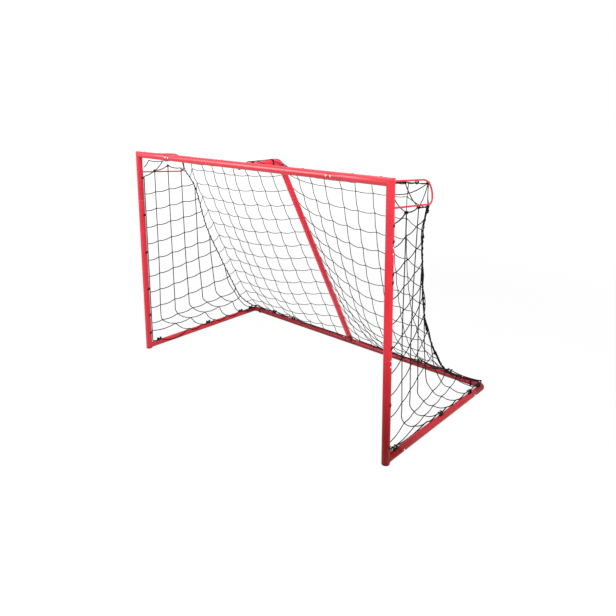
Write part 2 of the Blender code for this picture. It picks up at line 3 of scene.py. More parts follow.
import bmesh
import bpy
import numpy as np
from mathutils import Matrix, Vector


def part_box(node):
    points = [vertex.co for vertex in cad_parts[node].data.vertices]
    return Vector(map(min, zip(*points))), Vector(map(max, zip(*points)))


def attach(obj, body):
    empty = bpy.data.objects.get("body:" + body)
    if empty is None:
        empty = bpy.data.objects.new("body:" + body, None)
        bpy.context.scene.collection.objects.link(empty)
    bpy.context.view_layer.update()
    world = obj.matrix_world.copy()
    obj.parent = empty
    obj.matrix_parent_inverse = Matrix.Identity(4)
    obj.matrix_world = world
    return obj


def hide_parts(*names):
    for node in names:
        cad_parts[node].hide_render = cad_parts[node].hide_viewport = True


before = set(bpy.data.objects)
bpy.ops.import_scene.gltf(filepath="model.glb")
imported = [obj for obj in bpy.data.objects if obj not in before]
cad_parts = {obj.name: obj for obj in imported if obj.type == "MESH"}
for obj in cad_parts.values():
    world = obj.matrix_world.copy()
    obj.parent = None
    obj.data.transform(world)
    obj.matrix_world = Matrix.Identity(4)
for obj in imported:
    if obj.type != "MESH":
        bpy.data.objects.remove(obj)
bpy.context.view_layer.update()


# Viewpoint: a standing person in front of the goal, to the right of its near post. The eye is
# 1.5 m above the ground. The shift is the photograph's own framing, which keeps the posts
# upright although the goal lies below the eye.
def add_object(name, data):
    """A new object in the scene."""
    made = bpy.data.objects.new(name, data)
    bpy.context.collection.objects.link(made)
    return made


eye = add_object("camera", bpy.data.cameras.new("camera"))
eye.location = (2.2118, -2.3176, 1.5209)
eye.rotation_euler = [math.radians(a) for a in (80.005, 0.0982, 41.8057)]
eye.data.sensor_width = 36
eye.data.lens = 34.643
eye.data.shift_x = -0.02
eye.data.shift_y = -0.17
eye.data.clip_end = 60
bpy.context.scene.camera = eye
bpy.context.scene.view_settings.view_transform = "Standard"


# Studio: a pale seamless floor under a soft sky, with a large soft lamp at each side of the
# front and a weak one overhead. The floor is white to the eye and keeps the goal's soft shadow.
def from_screen(*rgb):
    """A colour as a screen shows it, 0 to 255, as linear light."""
    return tuple(c / 255 / 12.92 if c <= 10.3 else ((c / 255 + 0.055) / 1.055) ** 2.4 for c in rgb)


class Tone:
    """A socket that carries a value or colour over a surface, with arithmetic."""

    def __init__(self, tree, socket=None):
        self.tree, self.socket = tree, socket

    def node(self, kind, inputs=(), out=0, **settings):
        """One node of that type, with its settings and its sockets' values or links."""
        made = self.tree.nodes.new(kind)
        for key, value in settings.items():
            setattr(made, key, value)
        for key, value in dict(inputs).items():
            if isinstance(value, Tone):
                self.tree.links.new(value.socket, made.inputs[key])
            elif isinstance(value, tuple) and made.inputs[key].type == "RGBA":
                made.inputs[key].default_value = (*value[:3], 1.0)
            else:
                made.inputs[key].default_value = value
        return Tone(self.tree, made.outputs[out] if made.outputs else None)

    def maths(self, operation, *values):
        return self.node("ShaderNodeMath", dict(enumerate(values)), operation=operation)

    def __add__(self, other):
        return self.maths("ADD", self, other)

    def __sub__(self, other):
        return self.maths("SUBTRACT", self, other)

    def __rsub__(self, other):
        return self.maths("SUBTRACT", other, self)

    def __mul__(self, other):
        return self.maths("MULTIPLY", self, other)

    __radd__ = __add__
    __rmul__ = __mul__

    def fade(self, low, high):
        """0 below low, 1 above high, a smooth rise between them."""
        return self.node("ShaderNodeMapRange", {0: self, 1: low, 2: high},
                         interpolation_type="SMOOTHSTEP")

    def blend(self, first, second):
        """The first colour where this is 0 and the second where it is 1."""
        return self.node("ShaderNodeMix", {0: self, 6: first, 7: second}, out=2, data_type="RGBA")

    def noise(self, scale, detail, **more):
        """Cloudy noise over the places that this holds."""
        return self.node("ShaderNodeTexNoise",
                         {"Vector": self, "Scale": scale, "Detail": detail, **more})

    def seen_by_eye(self):
        """1 for rays that end in the picture, also by way of a gloss or glass, 0 for light."""
        camera, glossy, through = [self.node("ShaderNodeLightPath", out=kind) for kind in
                                   ("Is Camera Ray", "Is Glossy Ray", "Is Transmission Ray")]
        return self.maths("MAXIMUM", self.maths("MAXIMUM", camera, glossy), through)

    def finish_surface(self, colour, roughness, relief, strength, depth, **more):
        """The surface's shader, with the bump of its relief, and the material's output."""
        bump = self.node("ShaderNodeBump", {"Height": relief, "Strength": strength,
                                            "Distance": depth})
        self.node("ShaderNodeOutputMaterial", {0: self.node("ShaderNodeBsdfPrincipled", {
            "Base Color": colour, "Roughness": roughness, "Normal": bump, **more})})


def blank_material(name):
    """A new material with nothing in it, and a Tone of the places on its surface."""
    material = bpy.data.materials.new(name)
    material.use_nodes = True
    material.node_tree.nodes.clear()
    return material, Tone(material.node_tree).node("ShaderNodeTexCoord", out="Object")


white_floor, where = blank_material("studio_floor")
away = where.node("ShaderNodeVectorMath", {0: where}, out="Value",
                  operation="LENGTH").fade(1.5, 6.0)
paper = where.node("ShaderNodeBsdfDiffuse", {"Color": (0.5, 0.5, 0.5)})
bright = where.node("ShaderNodeEmission", {"Color": (1.0, 1.0, 1.0), "Strength": 1.08})
where.node("ShaderNodeOutputMaterial", {0: where.node("ShaderNodeMixShader", {
    0: where.seen_by_eye() * (away * 0.15 + 0.85), 1: paper, 2: bright})})

floor_mesh = bpy.data.meshes.new("studio_floor")
floor_reach, floor_z = 20, -0.0005
floor_mesh.from_pydata([(x * floor_reach, y * floor_reach, floor_z)
                        for x, y in ((-1, -1), (1, -1), (1, 1), (-1, 1))], [], [(0, 1, 2, 3)])
floor_mesh.materials.append(white_floor)
studio_floor = add_object("studio_floor", floor_mesh)

sky = bpy.data.worlds.new("studio_sky")
bpy.context.scene.world = sky
sky.use_nodes = True
sky.node_tree.nodes.clear()
start = Tone(sky.node_tree)
dim, full = [start.node("ShaderNodeBackground", {"Color": (1.0, 1.0, 1.0), "Strength": strength})
             for strength in (0.36, 1.0)]
start.node("ShaderNodeOutputWorld", {0: start.node("ShaderNodeMixShader", {
    0: start.seen_by_eye(), 1: dim, 2: full})})


def soft_lamp(name, place, target, size, power):
    lamp = add_object(name, bpy.data.lights.new(name, "AREA"))
    lamp.location = place
    lamp.rotation_euler = (Vector(target) - Vector(place)).to_track_quat("-Z", "Y").to_euler()
    lamp.data.size = size
    lamp.data.energy = power


soft_lamp("lamp_right", (3.1, -1.5, 2.7), (0.6, -0.3, 1.0), 1.2, 125)
soft_lamp("lamp_left", (-2.2, -2.9, 2.2), (-0.4, -0.2, 0.9), 1.6, 125)
soft_lamp("lamp_above", (0.0, 0.0, 3.2), (0, 0, 0.9), 2.2, 34)


# Crossbar, posts and their mitred corners: steel tube of 36 mm with a 1.5 mm wall, cut, coped,
# welded and drilled for the snap buttons, then powder coated red. The coat is glossy with a fine
# orange peel, and is a little scuffed. The right post and its foot have a copy of it with a painted
# shade, a deeper red towards the ground.
def middle(node):
    low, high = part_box(node)
    return (np.array(low) + np.array(high)) / 2


post_low, post_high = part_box("post_right")
main_r = (post_high[0] - post_low[0]) / 2
post_x, post_y = middle("post_right")[:2]
joint_x, crossbar_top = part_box("crossbar")[1][0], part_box("crossbar")[1][2]
bar_z = crossbar_top - main_r
back_low, back_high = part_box("back_bar_right")
base_r = (back_high[2] - back_low[2]) / 2
back_y = middle("back_bar_right")[1]
stay_drop = 0.005
stay_z = bar_z - stay_drop
corner_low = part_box("top_corner_right")[0]
foot_low, foot_top = 0.0053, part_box("post_foot_right")[1][2]
tube_wall, slip = 0.0015, 0.0004
swage_r, swage_length, shoulder = base_r - tube_wall - slip, 0.045, 0.002
socket_arm, foot_arm = 0.050, 0.095
hole_r, hole_reach, hole_past = 0.0044, 0.003, 0.006
mitre_sunk, mitre_bead = 0.0008, 0.0013
merge_gap = 1e-7
front, rear, up, rightwards = np.array([(0, -1, 0), (0, 1, 0), (0, 0, 1), (1, 0, 0)], float)
left_right = ((-1, "left"), (1, "right"))


def unit(v):
    return np.asarray(v, float) / np.linalg.norm(v)


def run_along(path):
    """How far along a path each of its points is."""
    return np.concatenate([[0], np.cumsum(np.linalg.norm(np.diff(path, axis=0), axis=1))])


def places_at(at, along, path):
    """The path's places at a distance or several, or at any value that along gives for it."""
    return np.stack([np.interp(at, along, path[:, axis]) for axis in range(3)], -1)


def circling(angle, across, other):
    """The directions at some angles round from one direction to another."""
    return np.cos(angle) * across + np.sin(angle) * other


def turns_about(heading, sides):
    """Unit spokes of a ring across a heading."""
    across = unit(np.cross(heading, up if abs(heading[2]) < 0.9 else rear))
    turns = np.linspace(0, 2 * math.pi, sides, endpoint=False)[:, None]
    return circling(turns, across, np.cross(heading, across))


def ring_along(heading, centre, radius, sides=32):
    """A ring of points round an axis."""
    return centre + radius * turns_about(heading, sides)


def swept_rings(path, sides):
    """For each point of a path, the spokes of a ring across it, mitred at its corners."""
    path = np.asarray(path, float)
    headings = np.diff(path, axis=0)
    headings /= np.linalg.norm(headings, axis=1)[:, None]
    heading = headings[0]
    spokes = turns_about(heading, sides)
    rings = []
    for index in range(len(path)):
        leaving = headings[min(index, len(headings) - 1)]
        mitre = heading + leaving
        rings.append(spokes - np.outer(spokes @ mitre / (heading @ mitre), heading))
        axis = np.cross(heading, leaving)
        if np.linalg.norm(axis) > 1e-9:
            turned = np.cross(axis, spokes)
            spokes = spokes + turned + np.cross(axis, turned) / (1 + heading @ leaving)
        heading = leaving
    return path, rings, headings


def skin(rings, closed=False):
    """Faces over a row of rings, with the place round the tube and along it in metres."""
    rings = np.asarray(rings)
    count, sides = rings.shape[:2]
    centres = rings.mean(1)
    if closed:
        centres = np.concatenate([centres, centres[:1]])
    lengths = run_along(centres)
    first, side = [g.ravel() for g in np.meshgrid(np.arange(len(centres) - 1), np.arange(sides),
                                                  indexing="ij")]
    next_side, next_ring = (side + 1) % sides, (first + 1) % count
    faces = np.stack([first * sides + side, first * sides + next_side,
                      next_ring * sides + next_side, next_ring * sides + side], 1)
    near, far = lengths[first], lengths[first + 1]
    one, other = side / sides, (side + 1) / sides
    uv = np.stack([one, near, other, near, other, far, one, far], 1)
    mesh = bpy.data.meshes.new("skin")
    mesh.from_pydata(rings.reshape(-1, 3).tolist(), [], faces.tolist())
    mesh.uv_layers.new(name="wrap").data.foreach_set("uv", uv.ravel())
    return mesh


def merged(parts, mesh):
    """Puts meshes together in one, with their doubled points joined."""
    bm = bmesh.new()
    for part in parts:
        bm.from_mesh(part)
    bmesh.ops.remove_doubles(bm, verts=bm.verts, dist=merge_gap)
    bm.to_mesh(mesh)
    bm.free()
    return mesh


def piece(name, parts, material, body="frame", sharp=35):
    """One object made of several meshes, riding on a body."""
    mesh = merged(parts, bpy.data.meshes.new(name))
    for part in parts:
        bpy.data.meshes.remove(part)
    mesh.shade_smooth()
    mesh.set_sharp_from_angle(angle=math.radians(sharp))
    mesh.materials.append(material)
    made = add_object(name, mesh)
    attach(made, body)
    return made


def drilled(mesh, holes):
    """The mesh with round button holes through its walls, each from the axis outwards."""
    host = add_object("host", mesh)
    drills = []
    for centre, direction, depth in holes:
        centre, direction = np.asarray(centre, float), unit(direction)
        drill_mesh = skin([ring_along(direction, centre + direction * along, r) for along, r in
                           ((0, 0), (0, hole_r), (depth, hole_r), (depth, 0))])
        drills.append(add_object("drill", merged([drill_mesh], drill_mesh)))
        cut = host.modifiers.new("hole", "BOOLEAN")
        cut.operation, cut.solver, cut.object = "DIFFERENCE", "EXACT", drills[-1]
    bpy.context.view_layer.update()
    shaped = host.evaluated_get(bpy.context.evaluated_depsgraph_get())
    cut_mesh = bpy.data.meshes.new_from_object(shaped)
    for spare in [host, *drills]:
        bpy.data.objects.remove(spare)
    return cut_mesh


def coped(ring, direction, host_axis, host_point, host_r):
    """A ring of points slid along an arm until it lies on the tube that the arm is welded to."""
    side = unit(np.cross(direction, host_axis))
    off = (ring - host_point) @ side
    reach = np.sqrt(np.maximum(host_r ** 2 - off ** 2, 0)) - (ring - host_point) @ direction
    return ring + np.outer(reach, direction)


def tube_skin(path, radius, sides=48, lip=0.0006, cope=None, rings_at=()):
    """A hollow tube with softened ends. radius is one number, or one for each point.

    cope, the axis, a point and the radius of a host tube, fits the tube's start to that host.
    rings_at gives a straight tube more rings, at distances from its start.
    """
    path = np.asarray(path, float)
    radii = np.broadcast_to(np.asarray(radius, float), len(path))
    if len(rings_at):
        length = np.linalg.norm(path[1] - path[0])
        held = [min(max(r, lip * 2), length - lip * 2) / length for r in rings_at]
        path = np.array([path[0] + (path[1] - path[0]) * s for s in sorted({0.0, 1.0, *held})])
        radii = np.full(len(path), radii[0])
    path, rings, headings = swept_rings(path, sides)

    def end(index, inward):
        r, inner = radii[index], radii[index] - tube_wall
        steps = [(lip, r), (lip * 0.3, r - lip * 0.3), (0, r - lip), (0, inner + lip / 2),
                 (lip / 2, inner)]
        return [path[index] + inward * back + rings[index] * wide for back, wide in steps]

    def wall(inset):
        return [p + ring * (r - inset) for p, ring, r in zip(path, rings, radii)][1:-1]

    near_end = end(0, headings[0])[::-1]
    if cope:
        near_end = [coped(path[0] + rings[0] * r, headings[0], *cope)
                    for r in (radii[0] - tube_wall, radii[0])]
    return skin(near_end + wall(0) + end(-1, -headings[-1]) + wall(tube_wall)[::-1], closed=True)


def straight_tube(start, end, radius, holes, near=0.004, far=0.022, both=True):
    """A drilled straight tube, with a ring at each side of its holes near one end or both."""
    length = np.linalg.norm(np.subtract(end, start))
    rings_at = [near, far] * both + [length - far, length - near]
    return drilled(tube_skin([start, end], radius, rings_at=rings_at), holes)


def strand_skin(path, radius, sides, closed=False):
    """A solid round strand along a path, with rounded ends unless it is closed."""
    path = np.asarray(path, float)
    radius = np.broadcast_to(np.asarray(radius, float), len(path))
    keep = np.concatenate([[True], np.linalg.norm(np.diff(path, axis=0), axis=1) > 1e-5])
    path, radius = path[keep], radius[keep]
    if closed:
        rings = swept_rings(np.concatenate([path[-2:-1], path]), sides)[1][1:-1]
        return skin([p + ring * r for p, ring, r in zip(path, rings, radius)], closed=True)
    path, rings, headings = swept_rings(path, sides)
    rows = [p + ring * r for p, ring, r in zip(path, rings, radius)]
    for index, out in ((0, -headings[0]), (-1, headings[-1])):
        tip = [path[index] + out * radius[index] * far + rings[index] * radius[index] * wide
               for far, wide in ((0.45, 0.8), (0.7, 0.0))]
        rows = tip[::-1] + rows if index == 0 else rows + tip
    return skin(rows)


def weld_bead(line, thick=0.0019, ripple=0.0024):
    """A rippled bead along a closed line."""
    line = np.concatenate([line, line[:1]])
    along = run_along(line)
    count = int(along[-1] / ripple)
    at = np.linspace(0, along[-1], count * 5 + 1)
    swell = 1 + 0.16 * np.sin(at / along[-1] * count * 2 * math.pi) + 0.06 * np.sin(at * 210.0)
    return strand_skin(places_at(at, along, line), thick * swell, 8, closed=True)


def welded_arm(start, direction, length, host):
    """An arm with a reduced end, and the line of its weld. host is as in coped."""
    start, ground_gap = np.array(start, float), 0.0024
    end = start + direction * length
    tube = tube_skin([start, end - direction * shoulder, end, end + direction * swage_length],
                     [base_r, base_r, swage_r, swage_r], cope=host)
    weld = coped(ring_along(direction, start, base_r, 96), direction, *host)
    weld[:, 2] = np.maximum(weld[:, 2], ground_gap)
    return tube, weld


def rounded(corners, radii, steps=12):
    """A path whose inner corners are rounded by arcs."""
    corners = [np.asarray(c, float) for c in corners]
    points = [corners[0]]
    for before, corner, after, radius in zip(corners, corners[1:], corners[2:], radii):
        back, on = unit(before - corner), unit(after - corner)
        half = math.acos(np.clip(back @ on, -1, 1)) / 2
        reach = radius / math.tan(half)
        centre = corner + unit(back + on) * radius / math.sin(half)
        start, end = corner + back * reach - centre, corner + on * reach - centre
        sweep = math.pi - 2 * half
        for share in [step / steps for step in range(steps + 1)]:
            points.append(centre + (start * math.sin((1 - share) * sweep)
                                    + end * math.sin(share * sweep)) / math.sin(sweep))
    return points + [corners[-1]]


def red_coat(name, bright_red, deep_red, dust, shine=0.4, painted_shade=None):
    """Red powder coat: orange peel, cloudy gloss, a few scuffs and dust at ground level.

    The last argument, if given, paints shade on the coat: the deeper red that it darkens to, the
    axis along which it does, and where the shade is full and where it is gone.
    """
    material, where = blank_material(name)
    tint = where.noise(9.0, 4.0)
    colour = tint.fade(0.35, 0.65).blend(from_screen(*bright_red), from_screen(*deep_red))
    scuffed = where.noise(70.0, 8.0, Roughness=0.7).fade(0.62, 0.72)
    colour = (scuffed * 0.35).blend(colour, from_screen(150, 16, 30))
    # Painted shade: where asked, the colour darkens to a deeper red along one axis of the object.
    if painted_shade:
        shade_red, axis, shade_full_at, shade_gone_at = painted_shade
        along = where.node("ShaderNodeSeparateXYZ", {0: where}, out=axis)
        colour = (1 - along.fade(shade_full_at, shade_gone_at)).blend(colour, from_screen(*shade_red))
    low = 1 - where.node("ShaderNodeSeparateXYZ", {0: where}, out="Z").fade(0.0, 0.05)
    dirt = low * where.noise(38.0, 6.0).fade(0.42, 0.68)
    colour = (dirt * dust).blend(colour, from_screen(118, 70, 66))
    gloss = tint * 0.08 + scuffed * 0.15 + dirt * 0.2 + 0.34
    where.finish_surface(colour, gloss, where.noise(520.0, 2.0), 0.12, 0.0004, **{
        "Specular IOR Level": shine, "Coat Weight": shine * 0.25, "Coat Roughness": 0.3})
    return material


coat = red_coat("red_powder_coat", (208, 34, 52), (200, 28, 46), 0.35)
# A copy of the coat for the right post and its foot, with a painted shade: a deeper red towards the
# ground, below 0.66 m.
shaded_post_coat = red_coat("red_powder_coat_post_shaded", (210, 44, 56), (202, 38, 50), 0.4, 0.12,
                     ((124, 2, 2), "Z", 0.02, 0.66))


def button_hole(node, direction, host_r):
    """Where a snap button's hole starts, on the tube's axis, its direction and its depth."""
    centre = middle(node)
    axis = int(np.argmax(np.abs(direction)))
    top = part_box(node)[1 if direction[axis] > 0 else 0][axis]
    centre[axis] = top - direction[axis] * (host_r + hole_reach)
    return centre, direction, host_r + hole_past


bar = straight_tube((-joint_x, post_y, bar_z), (joint_x, post_y, bar_z), main_r,
                    [button_hole(f"crossbar_{word}_button_inner", front, main_r)
                     for word in ("left", "right")])
arm, weld = welded_arm((0, post_y, stay_z), rear, socket_arm,
                       (rightwards, np.array([0, post_y, bar_z]), main_r))
crossbar = piece("crossbar_tube", [bar, arm, weld_bead(weld)], coat)
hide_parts("crossbar")
for side, word in left_right:
    x, out = side * post_x, side * rightwards
    # The right post takes the copy with the painted shade.
    post_coat = shaded_post_coat if side == 1 else coat
    path = np.array([(side * corner_low[0], post_y, bar_z), (x, post_y, bar_z),
                     (x, post_y, corner_low[2])])
    mitre = path[1] + swept_rings(path, 96)[1][1] * (main_r - mitre_sunk)
    tube = drilled(tube_skin(path, main_r),
                   [button_hole(f"crossbar_{word}_button_outer", front, main_r),
                    button_hole(f"post_upper_{word}_button_outer", out, main_r)])
    top = piece(f"top_corner_{word}_tube", [tube, weld_bead(mitre, mitre_bead)], coat)
    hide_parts(f"top_corner_{word}")
    tube = straight_tube((x, post_y, post_low[2]), (x, post_y, post_high[2]), main_r,
                         [button_hole(f"post_{level}_{word}_button_inner", out, main_r)
                          for level in ("upper", "lower")])
    post = piece(f"post_{word}_tube", [tube], post_coat)
    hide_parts(f"post_{word}")
    tube = straight_tube((x, post_y, foot_low), (x, post_y, foot_top), main_r,
                         [button_hole(f"post_lower_{word}_button_outer", out, main_r)], both=False)
    arm_start = np.array([x, post_y, base_r])
    arm, weld = welded_arm(arm_start, rear, foot_arm, (up, arm_start, main_r))
    arm = drilled(arm, [button_hole(f"side_front_button_{word}", out, base_r)])
    foot = piece(f"post_foot_{word}_tube", [tube, arm, weld_bead(weld)], post_coat)
    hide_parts(f"post_foot_{word}")


# Base and centre stay: 32 mm tube with the same coat. The base's copies of it carry painted shade:
# a deeper red on the back bars, the back corners and the tee, and on the right side bar a deeper
# red that darkens further towards the front. The stay's copy is lighter, which is painted light.
# The bars slide over reduced ends, the back corners are bent, and the stay runs back from the
# crossbar and down to the tee.
back_arm, tee_arm, tee_half = 0.095, 0.060, 0.035
corner_bend, stay_bend_r, stay_gap, bar_rings = 0.024, 0.055, 0.0006, (0.013, 0.032)
stay_bend, stay_foot = np.array([(0, post_y + 0.275, stay_z), (0, back_y, base_r)])
down = unit(stay_foot - stay_bend)
# A darker copy of the coat for the right side bar, a painted shade, deeper still towards its front
# end.
shaded_side_coat = red_coat("red_powder_coat_side_shaded", (182, 28, 42), (170, 22, 36), 0.4, 0.25,
                     ((106, 6, 6), "Y", -0.45, -0.12))
# A much darker copy of the coat for the back bars, the back corners and the tee: painted shade.
shaded_ground_coat = red_coat("red_powder_coat_ground_shaded", (146, 20, 34), (134, 15, 28), 0.4, 0.2)
# A lighter copy of the coat for the stay: painted light.
lit_stay_coat = red_coat("red_powder_coat_stay_lit", (236, 42, 62), (226, 36, 54), 0.35)
for side, word in left_right:
    x, out = side * post_x, side * rightwards
    lows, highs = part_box(f"side_bar_{word}")
    tube = straight_tube((x, lows[1], base_r), (x, highs[1], base_r), base_r,
                         [button_hole(f"side_{end}_button_{word}", out, base_r)
                          for end in ("front", "back")], *bar_rings)
    bar = piece(f"side_bar_{word}_tube", [tube], shaded_side_coat if side == 1 else coat)
    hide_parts(f"side_bar_{word}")

    def beside(back):
        """A place on the side arm of the bent corner, back from its bend."""
        return x, back_y - back, base_r

    def behind(back):
        return side * (post_x - back), back_y, base_r

    bend = rounded([beside(back_arm - shoulder), beside(0), behind(back_arm - shoulder)],
                   [corner_bend])
    path = [beside(back_arm + swage_length), beside(back_arm), *bend,
            behind(back_arm), behind(back_arm + swage_length)]
    radii = [swage_r] * 2 + [base_r] * len(bend) + [swage_r] * 2
    tube = drilled(tube_skin(path, radii), [button_hole(f"side_back_button_{word}", out, base_r),
                                            button_hole(f"back_corner_button_{word}", up, base_r)])
    corner = piece(f"back_corner_{word}_tube", [tube], shaded_ground_coat)
    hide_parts(f"back_corner_{word}")
    lows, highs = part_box(f"back_bar_{word}")
    tube = straight_tube((lows[0], back_y, base_r), (highs[0], back_y, base_r), base_r,
                         [button_hole(f"{end}_button_{word}", up, base_r)
                          for end in ("back_corner", "back_tee")], *bar_rings)
    bar = piece(f"back_bar_{word}_tube", [tube], shaded_ground_coat)
    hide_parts(f"back_bar_{word}")
tip = tee_half + swage_length
cross = tube_skin([(x, back_y, base_r) for x in (-tip, -tee_half, shoulder - tee_half,
                                                 tee_half - shoulder, tee_half, tip)],
                  [swage_r, swage_r, base_r, base_r, swage_r, swage_r])
cross = drilled(cross, [button_hole(f"back_tee_button_{word}", up, base_r)
                        for word in ("left", "right")])
arm, weld = welded_arm(stay_foot, -down, tee_arm, (rightwards, stay_foot, base_r))
tee = piece("back_tee_tube", [cross, arm, weld_bead(weld)], shaded_ground_coat)
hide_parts("back_tee")
stay_path = rounded([(0, post_y + socket_arm + stay_gap, stay_z), stay_bend,
                     stay_foot - down * (tee_arm + stay_gap)], [stay_bend_r], 20)
stay = piece("centre_stay_tube", [tube_skin(stay_path, base_r)], lit_stay_coat)
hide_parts("centre_stay")


# Net hoops: 8 mm wire bent to a C and welded behind each top corner, in the same red. They keep
# the net clear of the posts, and are tilted a little to the back.
hoop_reach, hoop_drop, hoop_high, hoop_sunk = 0.310, 0.010, 0.107, 0.0006
hoop_top, hoop_low = bar_z - hoop_drop, bar_z - (hoop_drop + hoop_high)
hoop_front, hoop_back = post_y + main_r - hoop_sunk, post_y + hoop_reach
hoop_bends, wire_r, hoop_bead = [0.075, 0.026], 0.004, (0.0016, 0.002)
front_rise, back_drop = 0.012, 0.010
for side, word in left_right:
    x = side * post_x
    line = np.array(rounded([(x, hoop_front, hoop_top), (x, hoop_back, hoop_top),
                             (x, hoop_back, hoop_low), (x, hoop_front, hoop_low)], hoop_bends))
    share = (line[:, 1] - hoop_front) / (hoop_back - hoop_front)
    line[:, 2] += front_rise - (front_rise + back_drop) * share
    parts = [strand_skin(line, wire_r, 20)]
    for z in (hoop_top, hoop_low):
        start = np.array([x, post_y, z])
        ring = ring_along(rear, start, wire_r, 48)
        parts.append(weld_bead(coped(ring, rear, up, start, main_r), *hoop_bead))
    hoop = piece(f"net_hoop_{word}_wire", parts, coat)
    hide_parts(f"net_hoop_{word}")


# Couplers: zinc plated sleeves inside the joints of the crossbar and the posts. They show as
# a thin bright line in each joint.
def plated(name, light, dark, shine):
    """Bright plating, a little cloudy and brushed along its wear."""
    material, where = blank_material(name)
    cloud = where.noise(140.0, 5.0)
    where.finish_surface(cloud.fade(0.35, 0.7).blend(light, dark), cloud * 0.18 + shine,
                         where.noise(1800.0, 2.0), 0.1, 0.0002, Metallic=1.0)
    return material


zinc = plated("zinc_plated_steel", (0.62, 0.63, 0.65), (0.42, 0.43, 0.46), 0.22)
for place in ("crossbar", "post_upper", "post_lower"):
    for word in ("left", "right"):
        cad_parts[f"{place}_{word}_coupler"].material_slots[0].material = zinc


# Snap buttons: turned pins with a domed head and a flange, pushed out through the holes of
# each joint by a spring. Each one slides on its own.
def turned_mesh(profile, centre, direction, sides=40):
    """A profile of radius and height, from its top down, revolved about a direction."""
    return skin([ring_along(-direction, centre + direction * height, r, sides)
                 for r, height in profile])


nickel = plated("bright_button_steel", (0.78, 0.76, 0.75), (0.60, 0.58, 0.58), 0.12)
button_r, button_dome, flange_r, flange_thick, flange_edge = 0.0040, 0.0014, 0.0056, 0.0013, 0.0002
buttons = []
for side, word in left_right:
    out = side * rightwards
    for place, way in (("crossbar", front), ("post_upper", out), ("post_lower", out)):
        buttons += [(f"{place}_{word}_button_{end}", way, main_r) for end in ("inner", "outer")]
    buttons += [(f"side_{end}_button_{word}", out, base_r) for end in ("front", "back")]
    buttons += [(f"back_{end}_button_{word}", up, base_r) for end in ("corner", "tee")]
for node, direction, host_r in buttons:
    bore, top = host_r - 2 * tube_wall - slip, host_r + hole_reach
    flange_top = math.sqrt(bore ** 2 - flange_r ** 2) - slip
    dome = [(button_r * math.sin(a), top - button_dome * (1 - math.cos(a)))
            for a in np.linspace(0, math.pi / 2, 8)]
    profile = [*dome, (button_r, flange_top), (flange_r - flange_edge, flange_top),
               (flange_r, flange_top - flange_edge), (flange_r, flange_top - flange_thick),
               (0, flange_top - flange_thick)]
    turned = turned_mesh(profile, button_hole(node, direction, host_r)[0], direction)
    pin = piece(f"{node}_pin", [turned], nickel, body=node)
    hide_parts(node)


# Post caps: black moulded plugs with a rounded lip, pushed into the posts' lower ends. Their
# undersides are hollowed a little.
def black_plastic_material():
    """Moulded plastic: fine spark texture, paler where it is rubbed."""
    material, where = blank_material("black_plastic")
    rubbed = where.noise(160.0, 6.0).fade(0.52, 0.72)
    colour = (rubbed * 0.5).blend(from_screen(10, 10, 11), from_screen(34, 33, 35))
    where.finish_surface(colour, rubbed * 0.12 + 0.5, where.noise(1500.0, 2.0), 0.25, 0.0003,
                         **{"Specular IOR Level": 0.2})
    return material


plastic = black_plastic_material()
plug_r, lip_high, plug_high = main_r - tube_wall - slip, 0.005, 0.019
cap_round, plug_edge, hollow = 0.002, 0.001, 0.0008
curve = [(main_r - cap_round * (1 - math.cos(a)), cap_round * (1 - math.sin(a)))
         for a in np.linspace(0, math.pi / 2, 6)]
cap_profile = [(0, plug_high), (plug_r - plug_edge, plug_high), (plug_r, plug_high - plug_edge),
               (plug_r, lip_high), (main_r, lip_high), *curve, (main_r * 0.62, 0.0),
               (main_r * 0.58, hollow), (0, hollow)]
for side, word in left_right:
    plug = turned_mesh(cap_profile, np.array([side * post_x, post_y, 0]), up, 48)
    cap = piece(f"post_cap_{word}_plug", [plug], plastic)
    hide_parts(f"post_cap_{word}")


# Net hooks: black moulded hooks that sit on the base bars, each a saddle with two claws which
# hold the border rope down.
rope_r, rope_in, rope_rise = 0.0028, 0.010, 0.0085
saddle_thick, saddle_fit, saddle_long, saddle_soft = 0.0036, 0.0003, 0.026, 0.0005
claw_long, claw_soft, claw_shift = 0.0066, 0.0006, 0.0095


def slab(outline, at, ways, thickness, soft):
    """A flat outline given a thickness, with softened edges, put at a place.

    ways are the directions of the outline's width and height, and of the thickness.
    """
    bm = bmesh.new()
    face = bm.faces.new([bm.verts.new((u, v, -thickness / 2)) for u, v in outline])
    grown = bmesh.ops.extrude_face_region(bm, geom=[face])["geom"]
    bmesh.ops.translate(bm, verts=[g for g in grown if isinstance(g, bmesh.types.BMVert)],
                        vec=(0, 0, thickness))
    bmesh.ops.recalc_face_normals(bm, faces=bm.faces[:])
    sharp = [e for e in bm.edges
             if len(e.link_faces) == 2 and e.calc_face_angle() > math.radians(40)]
    bmesh.ops.bevel(bm, geom=sharp, offset=soft, segments=2, profile=0.6, affect="EDGES")
    for vert in bm.verts:
        vert.co = Vector(at + ways[0] * vert.co.x + ways[1] * vert.co.y + ways[2] * vert.co.z)
    bmesh.ops.recalc_face_normals(bm, faces=bm.faces[:])
    mesh = bpy.data.meshes.new("slab")
    mesh.uv_layers.new(name="wrap")
    bm.to_mesh(mesh)
    bm.free()
    return mesh


def arc(centre, radius, first, last, steps=6):
    """Points of an outline round a centre, between two angles in degrees."""
    angles = np.radians(np.linspace(first, last, steps))
    return [(centre[0] + radius * math.cos(a), centre[1] + radius * math.sin(a)) for a in angles]


